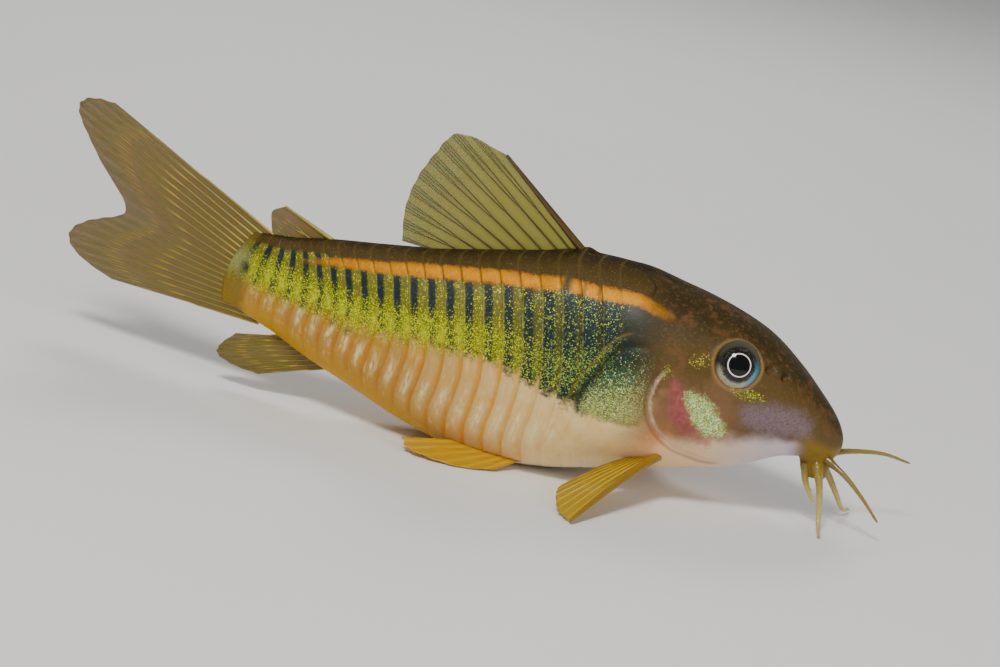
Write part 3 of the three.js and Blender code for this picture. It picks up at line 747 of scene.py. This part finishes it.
def stations():
    """Each ring's place along the body, with its plate number from PLATES_START on."""
    end = math.sqrt((PLATES_START - 0.15) / BODY_LENGTH)
    rings = [(BODY_LENGTH * (end * (i + 0.4) / HEAD_RINGS) ** 2, 0.0) for i in range(HEAD_RINGS)]
    start = PLATES_START
    for plate in range(PLATES):
        length = FIRST_PLATE + (LAST_PLATE - FIRST_PLATE) * plate / (PLATES - 1)
        rings += [(start + part * length, plate + part) for part in PLATE_PARTS]
        start += length
    rings += [(start + extra, PLATES - 0.02) for extra in (0.1, 0.3, 0.5, 0.7)]
    return np.array(rings)


def eye_axis(side):
    """The eye's middle, and the direction it looks in."""
    out = side_at(EYE_BACK, EYE_HEIGHT)
    middle = place(EYE_BACK, side * (out - EYE_SUNK), EYE_HEIGHT)
    look = np.array([0.2, side * 1.0, 0.3])
    return middle, look / np.linalg.norm(look)


def off_eye(points, side):
    """Each point's distance from the axis of an eye, and its depth along it."""
    middle, look = eye_axis(side)
    reach = points - middle
    depth = reach @ look
    return np.linalg.norm(reach - depth[..., None] * look, axis=-1), depth


def skin_shape():
    """The smooth skin: rings that lean as the plates' seams do, out to the thin end of the tail."""
    rings = stations()
    turn = np.linspace(-180, 180, AROUND, endpoint=False) + 180 / AROUND
    ring, angle = np.meshgrid(rings[:, 0], turn, indexing="ij")
    plate = np.repeat(rings[:, 1:2], AROUND, axis=1)
    away = np.abs(angle)
    leaning = smooth_step(ring, LEAN_START, PLATES_START + 2) * (1 - smooth_step(ring, LEAN_END, BODY_LENGTH))
    lean = seam_lean(away) * leaning
    lean += TAIL_ROOT_TILT * smooth_step(ring, TILT_START, BODY_LENGTH) * np.cos(np.radians(away))
    lean -= TAIL_POINT * smooth_step(ring, TAIL_POINT_START, BODY_LENGTH) * np.sin(np.radians(away)) ** 2
    back = ring - lean
    points = body_surface(back, angle)
    middle = place(back, 0, points[..., 2])
    thinning = 1 - TAIL_THINNING * smooth_step(ring, THINNING_START, THINNING_END)
    points = middle + (points - middle) * thinning[..., None]
    along = np.gradient(points, axis=0)
    around = np.roll(points, -1, axis=1) - np.roll(points, 1, axis=1)
    normal = np.cross(around, along)
    normal /= np.linalg.norm(normal, axis=-1, keepdims=True) + 1e-12
    outward = points - place(back, 0, (top_at(back) + bottom_at(back)) / 2)
    normal *= np.sign((normal * outward).sum(-1, keepdims=True))
    return back, angle, plate, ring, points, normal


def lump(along, across, measures):
    (at, length), (level, width), rise = measures
    return rise * bump(along, at, length) * bump(across, level, width)


def plate_relief(away, plate, ring):
    """Plates that rise to their rear edges, and the groove between their two rows."""
    plated = smooth_step(away, 5, 16) * (1 - smooth_step(away, 160, 174))
    plated *= smooth_step(ring, PLATES_START - 0.2, PLATES_START + 0.6)
    plated *= 1 - smooth_step(ring, BODY_LENGTH - 1.2, BODY_LENGTH)
    part = plate % 1
    rise = PLATE_RISE * part ** 1.3 - PLATE_GROOVE * bump(part, 0.0, 0.08)
    rise -= PLATE_LIP * smooth_step(part, 0.93, 1.0)
    rise *= 1 - LOWER_SOFTNESS * smooth_step(away, 92, 110)
    rise -= LATERAL_GROOVE * bump(away, LATERAL_ANGLE + LATERAL_WAVE * np.sin(2 * np.pi * plate), 1.6)
    return rise * plated


def cover_edge(back, height):
    """1 along the gill cover's free edge, which faces back and down, and 0 at its hinge."""
    return smooth_step((back - 13) * 0.8 - (height - 8.5) * 0.6, 0.0, 0.9)


def head_relief(back, away, height, cover, shoulder):
    """Gill cover, shoulder plate, groove of the nape, furrows of the crown, and nostrils."""
    flank = smooth_step(away, 30, 50)
    edge = COVER_RISE * (1 - smooth_step(cover, -0.9, 0.02)) - COVER_GROOVE * bump(cover, 0.2, 0.15)
    edge -= COVER_CREASE * bump(cover, -0.8, 0.14)
    rise = flank * cover_edge(back, height) * edge
    rise += flank * SHOULDER_RISE * (1 - smooth_step(shoulder, -0.5, 0.0))
    rise -= flank * SHOULDER_GROOVE * bump(shoulder, 0.1, 0.14)
    nape = back - NAPE_BACK - NAPE_CURVE * (NAPE_ANGLE - away) ** 2
    rise -= NAPE_GROOVE * bump(nape, 0, 0.2) * bump(away, 22, 12)
    rise += lump(back, height, PECTORAL_LUMP) + lump(back, height, NOSTRIL_FLAP)
    rise -= CROWN_FURROW * bump(away, 9, 3.5) * smooth_step(back, 14, 17) * (1 - smooth_step(back, 20, 22))
    for at, level, size in NOSTRILS:
        far = np.hypot(back - at, (height - level) * 0.85)
        rise += NOSTRIL_RIM * bump(far, size + 0.1, 0.16)
        rise -= NOSTRIL_DEPTH * (1 - smooth_step(far, 0.08, size))
    return rise


def shape_mouth(points, normal, back, away):
    """The mouth looks down: a drooping sleeve of lips round a small opening."""
    across = points[..., 1]
    mouth = np.hypot((back - MOUTH_BACK) / MOUTH_LENGTH, across / MOUTH_WIDTH)
    under = smooth_step(away, 100, 130)
    droop = LIP_DROOP * (1 - smooth_step(mouth, 0.55, 1.12))
    droop -= MOUTH_DEPTH * (1 - smooth_step(mouth, 0.12, 0.5))
    droop -= LIP_NOTCH * bump(across, 0, 0.28) * bump(back, MOUTH_BACK + 1.0, 0.5)
    roll = LIP_ROLL * bump(mouth, 0.66, 0.13) - LIP_CREASE * bump(mouth, 0.92, 0.1)
    points[..., 2] -= droop * under
    return points + normal * (roll * under)[..., None]


def shape_orbits(points):
    """Sinks the skin under each eye inside a raised rim, and tells how far off the eye it is."""
    distances = []
    for side in (RIGHT, LEFT):
        look = eye_axis(side)[1]
        off, depth = off_eye(points, side)
        near = depth > -1.0
        push = ORBIT_RIM * bump(off, ORBIT_RADIUS, 0.2) - ORBIT_DEPTH * (1 - smooth_step(off, 1.5, 1.93))
        points = points + (push * near)[..., None] * look
        distances.append(np.where(near, off, 9))
    return points, np.minimum(*distances)


def skin():
    back, angle, plate, ring, points, normal = skin_shape()
    away = np.abs(angle)
    height = points[..., 2].copy()
    cover, shoulder, snout, green, red = (
        inside_distance(back, height, spline(outline, True))
        for outline in (GILL_COVER, SHOULDER, SNOUT_PATCH, GREEN_PATCH, RED_PATCH))
    rise = plate_relief(away, plate, ring) + head_relief(back, away, height, cover, shoulder)
    rise += lump(ring, away, SPINE_BASE)
    points = shape_mouth(points + normal * rise[..., None], normal, back, away)
    points, eye = shape_orbits(points)
    points[..., 2] = np.maximum(points[..., 2], 0)

    # Degrees round the body become millimetres by its girth
    arc = np.pi * np.sqrt((half_width_at(back) ** 2 + (top_at(back) - bottom_at(back)) ** 2 / 4) / 2) / 180
    stripe = np.abs(away - curve_through(STRIPE_MIDDLE)(back)) * arc - curve_through(STRIPE_HALF)(back)
    bar_edge = (away - curve_through(BAR_BOTTOM)(back)) * arc
    glitter = (away - curve_through(GLITTER_MIDDLE)(back)) * arc
    edge = cover_edge(back, height)
    stored = {
        "body_map": (back, away, plate),
        "flank_marks": (stripe, bar_edge, glitter),
        "head_marks": (cover, shoulder, snout),
        "cheek_marks": (green, red, eye),
        "edge_marks": (edge, edge, edge),
    }
    rings = len(points)
    faces = grid_faces(rings, AROUND, True)
    ends = [points[0].mean(0), points[-1].mean(0) + np.array([-0.35, 0.05, 0.0])]
    first, last = rings * AROUND, rings * AROUND + 1
    for i in range(AROUND):
        j = (i + 1) % AROUND
        faces.append((first, j, i))
        faces.append((last, (rings - 1) * AROUND + i, (rings - 1) * AROUND + j))
    for name, values in stored.items():
        values = np.stack(values, -1)
        stored[name] = np.concatenate([values.reshape(-1, 3), [values[0].mean(0), values[-1].mean(0)]])
    make_piece(
        "catfish_skin", np.concatenate([points.reshape(-1, 3), ends]), faces, skin_finish(), stored, "skin",
        ("head", "torso", "tail", "gill_cover_right", "gill_cover_left"))


# Rays, spines and barbels: tubes along paths, grown by one node tree

def tube_tree():
    """Gives every path of a mesh a round, tapered thickness, which its points carry."""
    tree = bpy.data.node_groups.new("tapered_tubes", "GeometryNodeTree")
    sockets = {
        name: tree.interface.new_socket(name, in_out=way, socket_type="NodeSocket" + kind).identifier
        for name, way, kind in (
            ("Paths", "INPUT", "Geometry"), ("Sides", "INPUT", "Int"), ("Width", "INPUT", "Float"),
            ("Finish", "INPUT", "Material"), ("Tubes", "OUTPUT", "Geometry"))}
    tubes = Nodes(tree)

    def given(name):
        return tubes.node("NodeGroupInput", output=name)

    path = tubes.node("GeometryNodeMeshToCurve", None, {"Mesh": given("Paths")})
    ring = tubes.node("GeometryNodeCurvePrimitiveCircle", None, {"Resolution": given("Sides"), "Radius": 1.0})
    stored = tubes.node(
        "GeometryNodeInputNamedAttribute", {"data_type": "FLOAT_VECTOR"}, {"Name": "ray_map"}, "Attribute")
    radius = tubes.node("ShaderNodeSeparateXYZ", None, {0: stored}, "Y") * given("Width")
    tube = tubes.node("GeometryNodeCurveToMesh", None, {
        "Curve": path, "Profile Curve": ring, "Scale": radius, "Fill Caps": True})
    smooth = tubes.node("GeometryNodeSetShadeSmooth", None, {"Geometry": tube})
    whole = tubes.node("GeometryNodeRealizeInstances", None, {"Geometry": smooth})
    coated = tubes.node("GeometryNodeSetMaterial", None, {"Geometry": whole, "Material": given("Finish")})
    tubes.feed(tree.nodes.new("NodeGroupOutput").inputs["Tubes"], coated)
    return tree, sockets


TUBES, TUBE_SOCKETS = tube_tree()


def grow_tubes(name, strands, sides, material):
    """strands: (points, radii) pairs in millimetres."""
    points, edges, stored = [], [], []
    for path, radii in strands:
        start, count = len(points), len(path)
        points += list(np.asarray(path) * MM)
        edges += [(start + i, start + i + 1) for i in range(count - 1)]
        stored += [(i / (count - 1), radius, 0.0) for i, radius in enumerate(radii)]
    mesh = bpy.data.meshes.new(name + "_paths")
    mesh.from_pydata([tuple(p) for p in points], edges, [])
    layer = mesh.attributes.new("ray_map", "FLOAT_VECTOR", "POINT")
    layer.data.foreach_set("vector", np.array(stored, np.float32).ravel())
    paths = bpy.data.objects.new(name + "_paths", mesh)
    bpy.context.scene.collection.objects.link(paths)
    grown = paths.modifiers.new("tubes", "NODES")
    grown.node_group = TUBES
    for socket, value in (("Sides", sides), ("Width", MM), ("Finish", material)):
        grown[TUBE_SOCKETS[socket]] = value
    bpy.context.view_layer.update()
    finished = bpy.data.meshes.new_from_object(paths.evaluated_get(bpy.context.evaluated_depsgraph_get()))
    bpy.data.objects.remove(paths)
    finished.name = name
    piece = bpy.data.objects.new(name, finished)
    bpy.context.scene.collection.objects.link(piece)
    return piece


def joined(first, *others):
    """Adds other meshes to the first, as one piece with their own materials."""
    bpy.ops.object.select_all(action="DESELECT")
    for piece in (first, *others):
        piece.select_set(True)
    bpy.context.view_layer.objects.active = first
    bpy.ops.object.join()
    return first


# Fins

class Fin:
    """A membrane between a root line and a margin, with rays that branch towards the margin."""

    SPLITS = (0.42, 0.7)
    FIRST_SPREAD, LAST_SPREAD = 0.17, 0.09
    THICK, ROWS, COLUMNS_EACH = 0.1, 46, 10

    def __init__(self, rays, root, edge, wave=0.1, scallop=0.0, sag=0.0, spine=0.0):
        self.rays = rays
        self.root = root
        self.margin = rounded(spline(edge, count=241))
        self.wave = wave
        self.scallop = scallop
        self.sag = sag
        self.spine = spine

    def flat(self, u, v):
        """A point at a part u of the way along the root and v of the way out."""
        at = np.clip(u, 0, 1) * (len(self.margin) - 1)
        low = np.clip(np.floor(at).astype(int), 0, len(self.margin) - 2)
        edge = self.margin[low] + (self.margin[low + 1] - self.margin[low]) * (at - low)[..., None]
        root = self.root(u)
        point = root + (edge - root) * np.clip(v, 0, 1)[..., None]
        point[..., 2] += self.sag * np.sin(np.pi * v)
        return point

    def middle(self, u, v):
        """A point of the rippled middle of the fin, and the direction across it."""
        u, v = np.broadcast_arrays(np.asarray(u, float), np.asarray(v, float))
        step = 0.004
        along_u = self.flat(np.minimum(u + step, 1), v) - self.flat(np.maximum(u - step, 0), v)
        along_v = self.flat(u, np.minimum(v + step, 1)) - self.flat(u, np.maximum(v - step, 0))
        across = np.cross(along_u, along_v)
        across /= np.linalg.norm(across, axis=-1, keepdims=True) + 1e-12
        ripple = self.wave * v ** 1.5 * (np.cos(2 * np.pi * u * self.rays) * 0.1 + np.sin(u * 9 + v * 2.5))
        return self.flat(u, v) + across * ripple[..., None], across

    def membrane(self, name, material):
        columns, rows = self.rays * self.COLUMNS_EACH + 1, self.ROWS
        u, v = np.meshgrid(np.linspace(0, 1, columns), np.linspace(0, 1, rows), indexing="xy")
        reach = 1 - self.scallop * (0.5 - 0.5 * np.cos(2 * np.pi * u * self.rays)) * v ** 6
        centre, across = self.middle(u, v * reach)
        half = across * (self.THICK * (1 - v * 0.55) / 2)[..., None]
        points = np.concatenate([(centre + half).reshape(-1, 3), (centre - half).reshape(-1, 3)])
        count = columns * rows
        faces = grid_faces(rows, columns, False) + grid_faces(rows, columns, False, count, True)
        rim = list(range(columns)) + [j * columns + columns - 1 for j in range(1, rows)]
        rim += [(rows - 1) * columns + i for i in range(columns - 2, -1, -1)]
        rim += [j * columns for j in range(rows - 2, 0, -1)]
        for a, b in zip(rim, rim[1:] + rim[:1]):
            faces.append((b, a, a + count, b + count))
        face = np.stack([u * self.rays + 0.5, v, u * 0], -1).reshape(-1, 3)
        return make_piece(name, points, faces, material, {"fin_map": np.concatenate([face, face])})

    def strands(self, thick, thin):
        """Each ray's paths: one, then two, then four, as (start, end, offset, spread)."""
        first, second = self.SPLITS
        wide, slight = self.FIRST_SPREAD, self.LAST_SPREAD
        branched = [(0.0, first, 0.0, 0.0)]
        branched += [(first, second, 0.0, wide * s) for s in (-1, 1)]
        branched += [(second, 1.0, wide * s, wide * s + slight * t) for s in (-1, 1) for t in (-1, 1)]
        paths = []
        for ray in range(self.rays + 1):
            is_spine = ray == 0 and self.spine > 0
            size = self.spine if is_spine else thick
            tip = self.spine * 0.35 if is_spine else thin
            for start, end, offset, spread in [(0.0, 1.0, 0.0, 0.0)] if is_spine else branched:
                v = np.linspace(start, end, max(6, int((end - start) * 34)))
                part = np.sqrt((v - start) / (end - start))
                u = (ray + offset + (spread - offset) * part) / self.rays
                if u.min() < -1e-6 or u.max() > 1 + 1e-6:
                    continue
                radii = size + (tip - size) * v ** 0.8
                if start > 0:
                    radii *= 0.8 if start < second else 0.68
                paths.append((self.middle(u, v * 0.995)[0], radii))
        return paths


def ridge(start, end, sunk):
    return lambda u: place(start + (end - start) * u, 0, top_at(start + (end - start) * u) - sunk)


def keel(start, end, sunk):
    return lambda u: place(start + (end - start) * u, 0, bottom_at(start + (end - start) * u) + sunk)


def world(places, side=1):
    """Places given as back, side and height in the straight frame."""
    places = np.array(places, float)
    return np.stack([REST_BACK - places[:, 0], places[:, 1] * side, places[:, 2]], -1)


def root_line(places, side):
    start, end = world(places, side)
    return lambda u: start + (end - start) * np.asarray(u)[..., None]


# The tail fin's root is an arc round the end of the body
TAIL_ROOT_BACK, TAIL_ROOT_BOW, TAIL_ROOT_TOP, TAIL_ROOT_DEPTH = 55.0, 2.4, 14.2, 8.2


def tail_root(u):
    part = np.asarray(u)
    back = TAIL_ROOT_BACK - TAIL_ROOT_BOW * (2 * part - 1) ** 2
    return place(back, 0, TAIL_ROOT_TOP - TAIL_ROOT_DEPTH * part)


# Margins and roots of the fins: back, side and height
ROOT_SUNK = 1.1
DORSAL_EDGE = [
    (33.3, 0, 25.9), (37.8, 0.05, 27.0), (39.3, 0.1, 24.9), (40.6, 0.2, 22.2), (41.1, 0.3, 19.4),
    (40.8, 0.3, 16.6)]
ADIPOSE_EDGE = [(51.8, 2.5, 16.9), (52.9, 2.7, 16.2), (52.8, 2.6, 15.2), (52.5, 2.55, 14.3)]
ANAL_EDGE = [(51.5, 1.65, 1.7), (54.0, 2.0, 1.9), (55.6, 2.3, 2.6), (55.5, 2.4, 3.4), (54.3, 2.5, 4.7)]
TAIL_EDGE = [
    (69.3, 6.8, 21.9), (71.6, 7.6, 22.0), (73.0, 8.2, 21.2), (72.6, 8.2, 19.8), (71.2, 7.9, 18.0),
    (69.6, 7.6, 15.6), (66.2, 6.9, 12.4), (68.4, 7.8, 11.4), (70.6, 8.7, 10.5), (72.5, 9.6, 9.1),
    (72.3, 9.6, 7.8), (70.4, 9.1, 6.6), (67.4, 8.2, 5.7)]
PECTORAL_ROOT = [(14.6, 4.4, 4.6), (16.9, 4.8, 3.6)]
PECTORAL_EDGE = [
    (20.9, 16.4, 0.25), (22.2, 14.4, 0.45), (22.7, 12.0, 0.85), (22.6, 10.3, 1.2), (21.8, 8.6, 1.6)]
PELVIC_ROOT = [(25.4, 2.9, 1.3), (28.2, 2.6, 1.7)]
PELVIC_EDGE = [(28.6, 6.6, 0.2), (31.2, 7.6, 0.2), (34.0, 7.6, 0.25), (36.3, 6.8, 0.5), (37.1, 5.7, 1.1)]
RAY_ROOT_RADIUS, RAY_TIP_RADIUS, RAY_SIDES = 0.125, 0.042, 7


def upright_fins():
    olive = fin_finish("dorsal_membrane", "#7a7e0a", "#647222", "#92950e", 0.7)
    brown = ray_finish("dorsal_rays", "#5c400c", "#4c370c", "#7d6a28")
    dark = fin_finish("tail_membrane", "#5a500a", "#55522c", "#75680c", 0.75)
    bright = ray_finish("tail_rays", "#b3980c", "#938728", "#5c5018")
    dorsal = Fin(9, ridge(24.0, 34.9, ROOT_SUNK), world(DORSAL_EDGE), wave=0.16, scallop=0.007, spine=0.42)
    adipose = Fin(3, ridge(45.3, 51.6, ROOT_SUNK), world(ADIPOSE_EDGE), wave=0.04, spine=0.3)
    anal = Fin(7, keel(43.9, 48.6, ROOT_SUNK), world(ANAL_EDGE), wave=0.08, scallop=0.009)
    tail = Fin(18, tail_root, world(TAIL_EDGE), wave=0.14, scallop=0.007)
    finished_fin("dorsal_fin", dorsal, ("fin_dorsal",), olive, brown)
    finished_fin("adipose_fin", adipose, ("fin_adipose",), dark, bright)
    finished_fin("anal_fin", anal, ("fin_anal",), dark, bright)
    finished_fin("tail_fin", tail, ("fin_tail_upper", "fin_tail_lower"), dark, bright)


def paired_fins():
    yellow = fin_finish("pectoral_membrane", "#d0a404", "#d4ac08", "#dcb41c", 0.72)
    brown = ray_finish("pectoral_rays", "#8f6f14", "#8a6a16", "#c09820")
    amber = fin_finish("pelvic_membrane", "#d9a000", "#d6a200", "#e6b414", 0.75)
    gold = ray_finish("pelvic_rays", "#c89000", "#b88400", "#dda828")
    for label, side in (("right", RIGHT), ("left", LEFT)):
        pectoral = Fin(9, root_line(PECTORAL_ROOT, side), world(PECTORAL_EDGE, side), wave=0.1,
                       scallop=0.009, sag=0.3, spine=0.5)
        pelvic = Fin(6, root_line(PELVIC_ROOT, side), world(PELVIC_EDGE, side), wave=0.08, scallop=0.02)
        finished_fin(f"{label}_pectoral_fin", pectoral, (f"fin_pectoral_{label}",), yellow, brown)
        finished_fin(f"{label}_pelvic_fin", pelvic, (f"fin_pelvic_{label}",), amber, gold)


def finished_fin(name, fin, replaced, membrane, bones):
    """The membrane and its rays as one piece, kept above the floor."""
    web = fin.membrane(name, membrane)
    rays = grow_tubes(name + "_rays", fin.strands(RAY_ROOT_RADIUS, RAY_TIP_RADIUS), RAY_SIDES, bones)
    piece = joined(web, rays)
    for vertex in piece.data.vertices:
        vertex.co.z = max(vertex.co.z, 0.0)
    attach(piece, "root")
    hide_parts(*replaced)


# Barbels, from the corner of the mouth to the tip: back, side and height
BARBELS = {
    "barbel_long_right": [
        [1.9, -1.0, 5.4], [1.3, -2.1, 3.9], [0.9, -2.7, 2.1], [0.7, -3.5, 0.75], [0.5, -5.4, 0.35]],
    "barbel_long_left": [
        [1.9, 1.0, 5.4], [0.6, 2.0, 3.8], [-0.5, 2.3, 2.1], [-1.3, 2.9, 0.75], [-2.0, 4.5, 0.35]],
    "barbel_front_right": [
        [1.2, -1.0, 5.9], [-0.6, -2.0, 5.1], [-2.5, -2.6, 3.6], [-4.2, -3.0, 1.9]],
    "barbel_front_left": [
        [1.2, 1.0, 5.9], [-1.0, 2.2, 6.2], [-3.8, 3.6, 6.2], [-6.3, 5.0, 5.5]],
    "barbel_lip_right": [
        [2.8, -0.8, 5.2], [2.4, -1.0, 3.5], [1.8, -1.1, 2.4], [1.4, -1.1, 1.9]],
    "barbel_lip_left": [
        [2.8, 0.8, 5.2], [2.6, 1.1, 3.5], [2.2, 1.5, 2.5], [1.7, 1.8, 2.0]],
}
BARBEL_RADII = {"long": 0.42, "front": 0.34, "lip": 0.38}
BARBEL_SIDES = 14


def barbels():
    pale = barbel_finish("pale_barbel", "#85702c", "#c2b474")
    # A darker copy of the barbels' finish, painted shade, for the front pair.
    brown = barbel_finish("shaded_barbel", "#6b5826", "#8d7d44")
    for name, places in BARBELS.items():
        kind = name.split("_")[1]
        path = spline(world(places), count=40)
        part = np.linspace(0, 1, len(path))
        taper = 1 - 0.68 * part ** 0.75 + 0.35 * bump(part, 0.05, 0.1)
        radii = BARBEL_RADII[kind] * taper * (1 + 0.03 * np.sin(part * 70))
        radii[-1] *= 0.5
        # The front barbels take the darker copy as painted shade.
        finish = brown if kind == "front" else pale
        label = name.removeprefix("barbel_") + "_barbel"
        piece = grow_tubes(label, [(path, radii)], BARBEL_SIDES, finish)
        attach(piece, "root")
        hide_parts(name)


# Eyes
EYE_RINGS, EYE_AROUND = 60, 96
POLE_GAP = 0.01


def eyes():
    finish = eye_finish()
    for label, side in (("right", RIGHT), ("left", LEFT)):
        low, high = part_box(f"eye_{label}")
        middle = np.array((low + high) / 2) / MM
        radius = (high.x - low.x) / 2 / MM
        look = eye_axis(side)[1]
        forward = np.array([1.0, 0, 0]) - look * look[0]
        forward /= np.linalg.norm(forward)
        up = np.cross(look, forward)
        up *= np.sign(up[2])
        polars = np.linspace(POLE_GAP, math.pi - POLE_GAP, EYE_RINGS)
        turns = np.linspace(0, 2 * math.pi, EYE_AROUND, endpoint=False)
        polar, turn = np.meshgrid(polars, turns, indexing="ij")
        across = np.cos(turn)[..., None] * forward + np.sin(turn)[..., None] * up
        points = middle + radius * (np.cos(polar)[..., None] * look + np.sin(polar)[..., None] * across)
        off = radius * np.where(polar < math.pi / 2, np.sin(polar), 2 - np.sin(polar))
        stored = np.stack([off, np.sin(turn), np.cos(turn)], -1).reshape(-1, 3)
        faces = grid_faces(EYE_RINGS, EYE_AROUND, True, 0, side == LEFT)
        front = tuple(range(EYE_AROUND))
        rear = tuple((EYE_RINGS - 1) * EYE_AROUND + i for i in front)
        faces += [front[::-1], rear] if side == RIGHT else [front, rear[::-1]]
        make_piece(f"{label}_eye", points.reshape(-1, 3), faces, finish, {"eye_map": stored}, "eye",
                   (f"eye_{label}",))


# Stage

CAMERA_AZIMUTH, CAMERA_ELEVATION, CAMERA_ROLL = (math.radians(a) for a in (5.0, 14.0, 11.0))
CAMERA_DISTANCE = 0.241
CAMERA_TARGET = Vector((-0.0029, 0.0, 0.0104))
LENS = 100.0
FLOOR_HALF = 1.5


def camera():
    flat = math.cos(CAMERA_ELEVATION)
    back = Vector((
        math.sin(CAMERA_AZIMUTH) * flat, -math.cos(CAMERA_AZIMUTH) * flat, math.sin(CAMERA_ELEVATION)))
    level = Vector((math.cos(CAMERA_AZIMUTH), math.sin(CAMERA_AZIMUTH), 0))
    upright = back.cross(level)
    right = level * math.cos(CAMERA_ROLL) + upright * math.sin(CAMERA_ROLL)
    up = upright * math.cos(CAMERA_ROLL) - level * math.sin(CAMERA_ROLL)
    data = bpy.data.cameras.new("photo_camera")
    data.lens = LENS
    data.clip_start = 0.01
    view = bpy.data.objects.new("photo_camera", data)
    turned = Matrix((right, up, back)).transposed().to_4x4()
    view.matrix_world = Matrix.Translation(CAMERA_TARGET + back * CAMERA_DISTANCE) @ turned
    bpy.context.scene.collection.objects.link(view)
    bpy.context.scene.camera = view


def light(name, place_m, size, power, colour, glints=True):
    data = bpy.data.lights.new(name, "AREA")
    data.shape = "DISK"
    data.size = size
    data.energy = power
    data.color = colour
    lamp = bpy.data.objects.new(name, data)
    lamp.location = place_m
    lamp.visible_glossy = glints
    aim = Vector((0, 0, 0.01)) - Vector(place_m)
    lamp.rotation_euler = aim.to_track_quat("-Z", "Y").to_euler()
    bpy.context.scene.collection.objects.link(lamp)


def stage():
    half = FLOOR_HALF / MM
    corners = [(-half, -half, 0), (half, -half, 0), (half, half, 0), (-half, half, 0)]
    floor = make_piece("studio_floor", corners, [(0, 1, 2, 3)], floor_finish())
    light("key", (-0.06, -0.24, 0.38), 0.12, 1.4, (1, 0.98, 0.95))
    light("fill", (0.30, -0.24, 0.16), 0.2, 0.35, (0.95, 0.97, 1), False)
    light("rim", (-0.05, 0.30, 0.28), 0.16, 0.5, (1, 1, 1), False)
    studio = bpy.data.worlds.new("studio")
    studio.use_nodes = True
    sky = studio.node_tree.nodes["Background"].inputs
    sky["Color"].default_value = (0.85, 0.87, 0.9, 1)
    sky["Strength"].default_value = 0.32
    bpy.context.scene.world = studio


skin()
upright_fins()
paired_fins()
barbels()
eyes()
stage()
camera()
